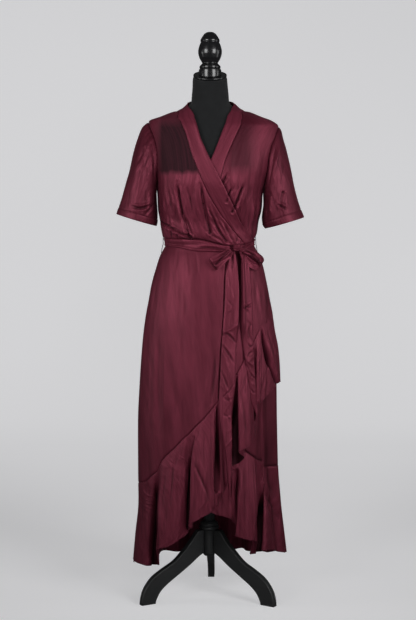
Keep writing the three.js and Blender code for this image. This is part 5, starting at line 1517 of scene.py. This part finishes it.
# a loop of the bow: how far along it runs, across it, towards the viewer, the turn of its width, and its width
LOOP_LEFT = Table("s run across near turn wide", [
    (0, 0, 0, 0, 0, 13), (0.10, 11, 0.5, 6, 4, 25), (0.28, 36, 1, 9.5, 6, 32), (0.42, 57, 1, 9, 4, 36), (0.47, 64.5, 0.5, 6, 2, 36.5),
    (0.5, 67, 0, 0, 0, 36.5), (0.53, 64.5, -1.5, -6, -2, 36.5), (0.58, 57, -2.5, -8.5, -4, 36), (0.72, 36, -2.5, -8, -4, 32), (0.9, 11, -1, -5, 0, 24), (1, 0, 0, 0, 0, 13),
])
LOOP_RIGHT = Table("s run across near turn wide", [
    (0, 0, 0, 0, 34, 12), (0.10, 12, 6, 7, 48, 24), (0.28, 38, 12.5, 13, 54, 32), (0.40, 60, 11.5, 13, 56, 34), (0.46, 70, 7.5, 10, 54, 34),
    (0.5, 75, 0, 3, 50, 34), (0.54, 72.5, -8, -4, 44, 36), (0.60, 61, -11.5, -7, 36, 36), (0.74, 40, -10.5, -8, 22, 33), (0.9, 12, -5, -4, 20, 24), (1, 0, -1, 0, 24, 12),
])
# long folds in the loops: place across, depth, width, from and to along the run, front or rear layer
LOOP_FOLDS = {
    "satin_bow_loop_left": [(0.46, -4.8, 0.070, 6, 58, 1), (0.66, 2.6, 0.12, 4, 60, 1), (0.20, 2.2, 0.12, 10, 60, 1), (0.84, -1.8, 0.05, 0, 34, 1), (0.30, -1.6, 0.05, 0, 30, 1), (0.5, 2.0, 0.2, 10, 60, -1)],
    "satin_bow_loop_right": [(0.36, -6.0, 0.075, 2, 64, 1), (0.68, 2.4, 0.12, 4, 60, 1), (0.15, 1.8, 0.10, 4, 60, 1), (0.62, -3.0, 0.07, 0, 60, -1), (0.34, -2.6, 0.07, 4, 50, -1), (0.48, 2.4, 0.10, 6, 60, -1), (0.82, 2.0, 0.09, 6, 62, -1)],
}


# where the light doesn't reach between the layers of a loop
LOOP_SHADE = {
    "satin_bow_loop_left": [(0.9, -0.75, 0.0, 0.6, 0.5, [(226, 252), (221, 258), (216, 265)]),
                            (1.2, -0.60, 0.0, 0.8, 0.8, [(209.6, 262), (212, 265), (216.5, 267.6)])],
    "satin_bow_loop_right": [(1.1, -0.95, 0.0, 0.6, 0.9, [(244.6, 248.8), (250.8, 253.7), (253.7, 258), (260.9, 262.4)]),
                             (2.2, -0.85, 0.0, 0.8, 0.8, [(256.5, 261.8), (258.5, 264.5), (260.5, 267.5)]),
                             (0.8, -0.60, 0.0, 0.4, 0.6, [(246.5, 255), (250.5, 261), (256, 266)])],
}


def bow_loop(name, table, start, along, out, phase):
    us, vs = lines(160, 1.6, (False, False)), lines(36, 1.5)
    s, w = np.meshgrid(us, vs)
    d = np.array([along[0], 0.0, along[1]]) / math.hypot(*along)
    up = np.array([-d[2], 0.0, d[0]])
    if up[2] < 0:
        up = -up
    near = np.array([0.0, -1.0, 0.0])
    run, across, off = table.run(s), table.across(s), table.near(s)
    x = start[0] + d[0] * run + up[0] * across
    z = start[1] + d[2] * run + up[2] * across
    skin = on_skirt(x, z, np.full_like(x, out))
    turn = np.radians(table.turn(s))
    wide = table.wide(s) * (w - 0.5)
    width = np.cos(turn)[..., None] * up - np.sin(turn)[..., None] * near
    c = np.stack([x, skin[..., 1] - off, z], -1)
    p = c + width * wide[..., None]
    tight = 1 - smooth(run / 58.0)
    n = unit(np.cross(np.gradient(c, axis=1), width))
    # gathers run out from the knot, and the strip cups a little across its width
    g = tight * (1.5 * np.sin(w * 15.0 + phase) + 0.8 * np.sin(w * 27.0 + 2 * phase + run / 21.0)) * smooth(run / 8.0)
    g = g + 1.7 * (1 - (2 * w - 1) ** 2) * smooth(run / 30.0) * np.sign(table.near(s) + 1e-3) * 0.5
    g = g + 0.7 * np.sin(run / 7.0 + 4 * w + phase) * smooth(run / 20.0) * np.sin(3.1 * w + phase)
    for place, deep, narrow, first, last, layer in LOOP_FOLDS[name]:
        here = (s < 0.5) if layer > 0 else (s >= 0.5)
        g = g + deep * np.exp(-((w + 0.05 * np.sin(run / 14.0 + 9 * place) - place) / narrow) ** 2) * smooth((run - first) / 8.0) * smooth((last + 8 - run) / 10.0) * here
    # painted shade in the deeper hollows of the loop's folds, and between its layers
    dark = np.clip(-g / 3.2 - 0.25, 0, 0.95)
    x, y = pixels(p)
    dark = np.maximum(dark, np.clip(-crease_field(x, y, LOOP_SHADE[name]), 0, 0.95))
    inside = np.stack([np.full_like(x, start[0] + d[0] * 36), np.full_like(x, float((skin[..., 1]).mean())), np.full_like(x, start[1] + d[2] * 36)], -1)
    q = p + n * (g * np.where(((c - inside) * n).sum(-1) > 0, 1, -1))[..., None]
    return cloth(name, q, SATIN_LIVELY, axis=inside, thick=0.7, swap=True, dark=dark)


def tail(name, table, out, creases, slant, phase, gap_side):
    zs = [r[0] for r in table.rows]
    top, low = max(zs), min(zs)
    us, vs = lines(40, 1.6), lines(top - low, 2.4)
    u, v = np.meshgrid(us, vs)
    z = mix(top, low, v)
    x = mix(table.left(z), table.right(z), u)
    p = on_skirt(x, z - slant * u, out + 1.4 * np.sin(np.pi * u))
    zz = p[..., 2]
    n = outward(angle_of(x, zz, np.full_like(zz, out)), zz)
    px_, py_ = pixels(p)
    d = crease_field(px_, py_, creases)
    # gathered where it leaves the knot, then soft and a little crumpled
    tight = np.exp(-(v * (top - low) / 34.0) ** 2)
    d = d + tight * (1.6 * np.sin(u * 11.0 + phase) + 0.8 * np.sin(u * 21.0 + phase))
    d = d + 0.9 * np.sin(zz / 37.0 + 2.5 * u + phase) + 0.55 * np.sin(zz / 17.0 - 4.0 * u + 2 * phase) * smooth(v / 0.2)
    beside = (1 - u if gap_side == "right" else u) * 40
    open_ = smooth((zz - 770) / 60)
    d = d + 9.0 * np.exp(-(beside / 11.0) ** 2) * open_ - 9.0 * np.exp(-(beside / 2.6) ** 2) * open_
    d = d + 2.2 * smooth(v / 0.5) * np.sin(zz / 71.0 + phase) + edge_roll(u, v, 40, top - low, 2.6, 2.4, "uU")
    return cloth(name, moved(p, n, d), SATIN_LIVELY, thick=0.8)


def thread_loop(name, s):
    pts = [surf(np.array(s * 90.8), np.array(float(z)), np.array(float(out)))
           for z, out in [(1074, 4.4), (1069, 8.5), (1056, 11.8), (1044, 12.5), (1032, 10.5), (1024, 7), (1018, 4.4)]]
    line = rounded(pts, 14)
    t = unit(np.gradient(line, axis=0))
    side = unit(np.cross(t, np.array([0.0, 1.0, 0.0])))
    other = np.cross(t, side)
    run = np.concatenate([[0], np.cumsum(np.linalg.norm(np.diff(line, axis=0), axis=1))])
    parts = []
    for k in range(3):
        f = 2 * np.pi * (run / 4.2 + k / 3)
        strand = line + 0.45 * (np.cos(f)[:, None] * side + np.sin(f)[:, None] * other)
        parts.append(tube(strand, 0.6, 7))
    return joined(name, parts, THREAD)


# ---- dress form and stand ------------------------------------------------------------------
def torso():
    zs = np.concatenate([[790.4, 791.5, 793.5, 797], np.linspace(802, 1522, 104), [1525, 1527, 1528.2]])
    m = 112
    f = np.linspace(0, 2 * np.pi, m, endpoint=False)
    tilt = math.tan(math.radians(NECK_TILT))
    rings = []
    for z in zs:
        s, c = np.sin(f), np.cos(f)
        e = 2 / float(BODY.n(z))
        half = min(float(BODY.left(z)), float(BODY.right(z)))
        soft = -1.6 * smooth((z - 1521) / 8) ** 2 - 5.0 * smooth((799 - z) / 9) ** 2
        a = min(half - float(FORM.inside(z)), float(FORM.hip(z))) + soft
        b = np.where(c > 0, BODY.front(z), BODY.back(z)) - FORM.inside(z) + soft
        x = BODY.cx(z) + a * np.sign(s) * np.abs(s) ** e
        y = -b * np.sign(c) * np.abs(c) ** e
        k = smooth((z - 1470) / (NECK_TOP_Z - 1470))
        rings.append(np.stack([x, y, z + y * tilt * k], -1))
    v = np.concatenate(rings)
    n = len(zs)
    jj, ii = np.meshgrid(np.arange(n - 1), np.arange(m), indexing="ij")
    i2 = (ii + 1) % m
    faces = [tuple(int(k) for k in q) for q in np.stack([jj * m + ii, jj * m + i2, (jj + 1) * m + i2, (jj + 1) * m + ii], -1).reshape(-1, 4)]
    v = np.concatenate([v, [rings[0].mean(0)], [rings[-1].mean(0)]])
    for i in range(m):
        faces.append((len(v) - 2, (i + 1) % m, i))
        faces.append((len(v) - 1, (n - 1) * m + i, (n - 1) * m + (i + 1) % m))
    me = bpy.data.meshes.new("jersey_torso")
    me.from_pydata([tuple(q) for q in (v - ORIGIN) / 1000], [], faces)
    me.update()
    me.polygons.foreach_set("use_smooth", np.ones(len(me.polygons), bool))
    bm = bmesh.new()
    bm.from_mesh(me)
    bmesh.ops.recalc_face_normals(bm, faces=bm.faces)
    bm.to_mesh(me)
    bm.free()
    ob = bpy.data.objects.new("jersey_torso", me)
    bpy.context.scene.collection.objects.link(ob)
    me.materials.append(JERSEY)
    return ob


def leg(name, degrees):
    start = HUB_R + 0.5
    upper = rounded([(42, 200)] + LEG_UPPER[1:], 5)
    lower = rounded(LEG_LOWER, 5)
    outline = [(start, 199.6)] + [tuple(q) for q in upper] + [tuple(q) for q in lower] + [(start, 131)]
    bm = bmesh.new()
    half = LEG_THICK / 2
    ring = [bm.verts.new((r, -half, z)) for r, z in outline]
    face = bm.faces.new(ring)
    out = bmesh.ops.extrude_face_region(bm, geom=[face])
    bmesh.ops.translate(bm, verts=[g for g in out["geom"] if isinstance(g, bmesh.types.BMVert)], vec=(0, LEG_THICK, 0))
    bmesh.ops.recalc_face_normals(bm, faces=bm.faces)
    bm.edges.ensure_lookup_table()
    rim = [e for e in bm.edges if len(e.link_faces) == 2 and any(len(q.verts) > 8 for q in e.link_faces)
           and not (abs(e.verts[0].co.z) < 1e-6 and abs(e.verts[1].co.z) < 1e-6)]
    bmesh.ops.bevel(bm, geom=rim, offset=2.6, offset_type="OFFSET", segments=3, profile=0.5, affect="EDGES", clamp_overlap=True)
    a = math.pi / 2 - math.radians(degrees + REAR_LEG_TURN)
    turn = Matrix.Rotation(a, 4, "Z")
    for vert in bm.verts:
        vert.co = turn @ vert.co
        vert.co.z = max(vert.co.z, 0.0)
        vert.co = (vert.co - Vector(ORIGIN)) / 1000
    me = bpy.data.meshes.new(name)
    bm.to_mesh(me)
    bm.free()
    for poly in me.polygons:
        poly.use_smooth = True
    ob = bpy.data.objects.new(name, me)
    bpy.context.scene.collection.objects.link(ob)
    me.materials.append(STAND)
    mod = ob.modifiers.new("weighted", "WEIGHTED_NORMAL")
    mod.keep_sharp = True
    return ob


# ---- making everything ------------------------------------------------------------------------
placed(torso(), "form_torso", slot="jersey")
tilt = Matrix.Rotation(math.radians(NECK_TILT), 3, "X")
T = np.array(tilt)
cap_z = NECK_TOP_Z + (3.3 + SEAM) / math.cos(math.radians(NECK_TILT))
placed(revolve("neck_plate", [(0, 3), (47.6, 3), (48.5, 1.6), (48.5, -1.6), (47.6, -3), (0, -3)], LACQUER, 128, turn=T, shift=(2.4, 0, cap_z), cuts=2), "neck_cap", slot="lacquer")


def finial_foot(v):
    top = NECK_TOP_Z + (6.6 + 2 * SEAM) / math.cos(math.radians(NECK_TILT))
    v = v.copy()
    low = v[:, 2] < 1546
    cut = top + v[:, 1] * math.tan(math.radians(NECK_TILT))
    share = np.clip((1546 - v[:, 2]) / 16.0, 0, 1)
    v[low, 2] = mix(v[low, 2], cut[low] + (v[low, 2] - 1530) * 0.0, share[low])
    v[low, 2] = np.maximum(v[low, 2], cut[low])
    return v


placed(revolve("turned_finial", FINIAL, LACQUER, 72, shift=(2.4, 0, 0), cuts=3, clip=finial_foot), "finial", slot="lacquer")
placed(revolve("turned_hub", HUB, STAND, 72, cuts=2), "hub", slot="stand_wood")
placed(revolve("turned_pole", [(0, HUB_HIGH_Z + 0.3), (POLE_R, HUB_HIGH_Z + 0.3), (POLE_R, FORM_BOTTOM_Z - 0.3), (0, FORM_BOTTOM_Z - 0.3)], STAND, 96, cuts=1), "pole", slot="stand_wood")
for leg_name, degrees in (("leg_rear", 0), ("leg_right", 120), ("leg_left", 240)):
    placed(leg("curved_" + leg_name, degrees), leg_name, slot="stand_wood")

placed(bodice_front_outer(), "bodice_front_outer")
placed(bodice_front_under(), "bodice_front_under")
placed(bodice_back(), "bodice_back")
placed(neck_band("satin_neck_band_outer", BAND_OUTER, "outer"), "neck_band_outer")
placed(neck_band("satin_neck_band_under", BAND_UNDER, "under"), "neck_band_under")
placed(neck_band_back(), "neck_band_back")
for side in ("left", "right"):
    ob, q, n = sleeve(side, "sleeve")
    placed(ob, "sleeve_" + side)
    ob, q, n = sleeve(side, "hem")
    placed(ob, "sleeve_hem_" + side)
    row = 2
    line = np.concatenate([q[row], q[row, :1]])
    norm = np.concatenate([n[row], n[row, :1]])
    placed(stitches("sleeve_stitches_" + side, line, norm, THREAD), slot="thread")
placed(skirt_front_outer(), "skirt_front_outer")
placed(skirt_front_under(), "skirt_front_under")
placed(skirt_back(), "skirt_back")
hems = {}
for key, name, at, wide, tall, creases, folds, phase in (
        ("outer", "satin_flounce_outer", OUTER_AT, 1050, 250, FLOUNCE_CREASES, FLOUNCE_TUCKS, 0.3),
        ("under", "satin_flounce_under", UNDER_AT, 620, 260, UNDER_FLOUNCE_CREASES, UNDER_FLOUNCE_TUCKS, 1.7)):
    ob, q, n = flounce_sheet(name, at, wide, tall, creases, folds, phase)
    placed(ob, "flounce_" + key)
    hems[key] = (q, n)
ob, q, n = flounce_back_sheet()
placed(ob, "flounce_back")
hems["back"] = (q, n)
for key, (q, n) in hems.items():
    placed(stitches("hem_stitches_" + key, q[-3], n[-3], THREAD, long=2.8, gap=1.6), slot="thread")
placed(belt(), "belt")
placed(knot(), "belt_knot")
placed(bow_loop("satin_bow_loop_left", LOOP_LEFT, (64.0, 1030.0), (-50.6, -36.0), 21.0, 0.6), "bow_loop_left")
placed(bow_loop("satin_bow_loop_right", LOOP_RIGHT, (90.0, 1034.0), (62.0, -45.0), 24.0, 1.9), "bow_loop_right")
placed(tail("satin_tie_tail_long", TAIL_LONG, 14.0, LONG_TAIL_CREASES, 0.0, 0.4, "right"), "tie_tail_long")
placed(tail("satin_tie_tail_short", TAIL_SHORT, 14.0, SHORT_TAIL_CREASES, 6.0, 2.2, "left"), "tie_tail_short")
placed(thread_loop("thread_loop_left", -1), "belt_loop_left", slot="thread")
placed(thread_loop("thread_loop_right", 1), "belt_loop_right", slot="thread")

# ---- room, light and camera -----------------------------------------------------------------------
scene = bpy.context.scene


def backdrop():
    """One sweep: a floor that curves up into a wall, wide enough for every view."""
    prof = [(-9.0, 0.0)] + [(y, 0.0) for y in np.linspace(-8, 2.4, 14)]
    prof += [(2.4 + 2.2 * math.sin(a), 2.2 - 2.2 * math.cos(a)) for a in np.linspace(0.06, math.pi / 2, 24)]
    prof += [(4.6, z) for z in np.linspace(2.6, 9, 10)]
    xs = np.linspace(-9, 9, 19)
    verts = [(x, y, z) for y, z in prof for x in xs]
    k = len(xs)
    faces = [(j * k + i, j * k + i + 1, (j + 1) * k + i + 1, (j + 1) * k + i) for j in range(len(prof) - 1) for i in range(k - 1)]
    me = bpy.data.meshes.new("studio_sweep")
    me.from_pydata(verts, [], faces)
    me.update()
    for poly in me.polygons:
        poly.use_smooth = True
    ob = bpy.data.objects.new("studio_sweep", me)
    scene.collection.objects.link(ob)
    m, tree, bsdf = material("pale_paper")
    place = tree.nodes.new("ShaderNodeTexCoord").outputs["Object"]
    parts = tree.nodes.new("ShaderNodeSeparateXYZ")
    tree.links.new(place, parts.inputs[0])
    cloud = noise(tree, place, 0.8, 2.0, 0.5)
    tree.links.new(ramp(tree, cloud, [(0.3, (0.60, 0.60, 0.61)), (0.7, (0.64, 0.64, 0.65))]).outputs[0], bsdf.inputs["Base Color"])
    bsdf.inputs["Roughness"].default_value = 0.9
    bsdf.inputs["Specular IOR Level"].default_value = 0.1
    bsdf.inputs["Emission Color"].default_value = (0.98, 0.98, 1.0, 1)
    # painted light: the paper glows by itself, brighter up the wall than on the floor
    far = maths(tree, "MULTIPLY", maths(tree, "ADD", parts.outputs[1], 0.2), 0.33, True)
    glow = ramp(tree, far, [(0.0, (0.415, 0.415, 0.415)), (0.22, (0.428, 0.428, 0.428)), (0.42, (0.445, 0.445, 0.445)), (0.75, (0.515, 0.515, 0.515)), (1.0, (0.545, 0.545, 0.545))])
    tree.links.new(glow.outputs[0], bsdf.inputs["Emission Strength"])
    me.materials.append(m)
    ob.visible_diffuse = False
    ob.visible_glossy = False
    return ob


sweep = backdrop()


def soft_box(name, place, target, wide, tall, power, spread=180.0, colour=(1, 1, 1)):
    light = bpy.data.lights.new(name, "AREA")
    light.shape = "RECTANGLE"
    light.size, light.size_y = wide, tall
    light.energy = power
    light.color = colour
    light.spread = math.radians(spread)
    ob = bpy.data.objects.new(name, light)
    scene.collection.objects.link(ob)
    ob.location = place
    ob.rotation_euler = (Vector(target) - Vector(place)).to_track_quat("-Z", "Y").to_euler()
    return ob


soft_box("key_left", (-1.62, -1.92, 1.80), (0.0, 0.0, 1.38), 1.2, 1.6, 4.9, 50)
soft_box("key_right", (1.62, -1.92, 1.75), (0.0, 0.0, 1.26), 1.2, 1.6, 10.6, 80)
soft_box("side_left", (-2.50, -0.40, 0.95), (0.0, 0.0, 0.60), 0.7, 1.4, 1.6, 64)
soft_box("side_right", (2.50, -0.30, 1.20), (0.0, 0.0, 0.98), 0.7, 1.4, 1.8, 80)
soft_box("low_front", (0.0, -2.20, 0.40), (0.0, 0.0, 0.16), 0.8, 0.3, 0.48, 60)
fill = soft_box("front_fill", (0.0, -3.6, 1.40), (0.0, 0.0, 1.34), 1.6, 0.9, 4.2, 48)
fill.visible_glossy = False

world = bpy.data.worlds.new("studio")
scene.world = world
world.use_nodes = True
world.node_tree.nodes["Background"].inputs["Color"].default_value = (0.97, 0.98, 1.0, 1)
world.node_tree.nodes["Background"].inputs["Strength"].default_value = 0.055

scene.view_settings.view_transform = "Standard"
scene.view_settings.look = "None"

cam_data = bpy.data.cameras.new("camera")
cam_data.sensor_fit = "VERTICAL"
cam_data.sensor_height = 36.0
cam_data.sensor_width = 36.0
cam_data.lens = CAM_FOCAL / 620 * 36.0
cam = bpy.data.objects.new("camera", cam_data)
scene.collection.objects.link(cam)
cam.location = Vector((CAM_PLACE - ORIGIN) / 1000)
cam.rotation_euler = (math.radians(90 - CAM_PITCH), 0, 0)
cam_data.clip_start, cam_data.clip_end = 0.05, 100
scene.camera = cam

# ---- the cut of each cloth that shows: metres wide, metres long, square metres, how it is held, on what, with what --
CUTS = [
    ("satin_bodice_front_outer", 0.300, 0.420, 0.0900, "gathered", ["jersey_torso", "satin_bodice_front_under"], []),
    ("satin_bodice_front_under", 0.310, 0.420, 0.0880, "gathered", ["jersey_torso"], []),
    ("satin_bodice_back", 0.460, 0.410, 0.1740, "gathered", ["jersey_torso"], []),
    ("satin_neck_band_outer", 0.050, 0.520, 0.0258, "stretched", ["jersey_torso", "satin_neck_band_under"], []),
    ("satin_neck_band_under", 0.050, 0.480, 0.0232, "stretched", ["jersey_torso"], []),
    ("satin_neck_band_back", 0.030, 0.300, 0.0086, "stretched", ["jersey_torso"], []),
    ("satin_sleeve_left", 0.380, 0.235, 0.0770, "hung", ["jersey_torso", "satin_bodice_front_outer"], []),
    ("satin_sleeve_right", 0.380, 0.235, 0.0750, "hung", ["jersey_torso", "satin_bodice_front_under"], []),
    ("satin_sleeve_hem_left", 0.460, 0.018, None, "folded", ["satin_sleeve_left"], ["sleeve_stitches_left"]),
    ("satin_sleeve_hem_right", 0.460, 0.018, None, "folded", ["satin_sleeve_right"], ["sleeve_stitches_right"]),
    ("satin_skirt_front_outer", 0.470, 0.690, 0.2450, "draped", ["jersey_torso", "satin_skirt_front_under"], []),
    ("satin_skirt_front_under", 0.420, 0.640, 0.1900, "draped", ["jersey_torso"], []),
    ("satin_skirt_back", 0.600, 0.700, 0.3700, "draped", ["jersey_torso"], []),
    ("satin_flounce_outer", 1.050, 0.300, 0.2500, "gathered", ["satin_skirt_front_outer"], ["hem_stitches_outer"]),
    ("satin_flounce_under", 0.560, 0.270, 0.1250, "gathered", ["satin_skirt_front_under"], ["hem_stitches_under"]),
    ("satin_flounce_back", 0.860, 0.290, 0.2200, "gathered", ["satin_skirt_back"], ["hem_stitches_back"]),
    ("satin_belt", 0.030, 0.750, None, "folded", ["satin_bodice_back", "satin_skirt_front_outer"], ["satin_belt_knot"]),
    ("satin_bow_loop_left", 0.040, 0.160, None, "folded", ["satin_belt_knot", "satin_skirt_front_outer"], []),
    ("satin_bow_loop_right", 0.040, 0.170, None, "folded", ["satin_belt_knot", "satin_skirt_front_outer"], []),
    ("satin_tie_tail_long", 0.042, 0.700, 0.0275, "hung", ["satin_belt_knot", "satin_skirt_front_outer"], []),
    ("satin_tie_tail_short", 0.038, 0.460, 0.0170, "hung", ["satin_belt_knot", "satin_skirt_front_outer"], []),
]
for name, wide, long, area, held, on, extras in CUTS:
    shown = pieces[name]["area_m2"]
    print("AREA", name, round(shown, 5), round(shown / (area or wide * long), 3))

print("TRIANGLES", sum(sum(len(q.vertices) - 2 for q in o.data.polygons) for o in pieces.values()))
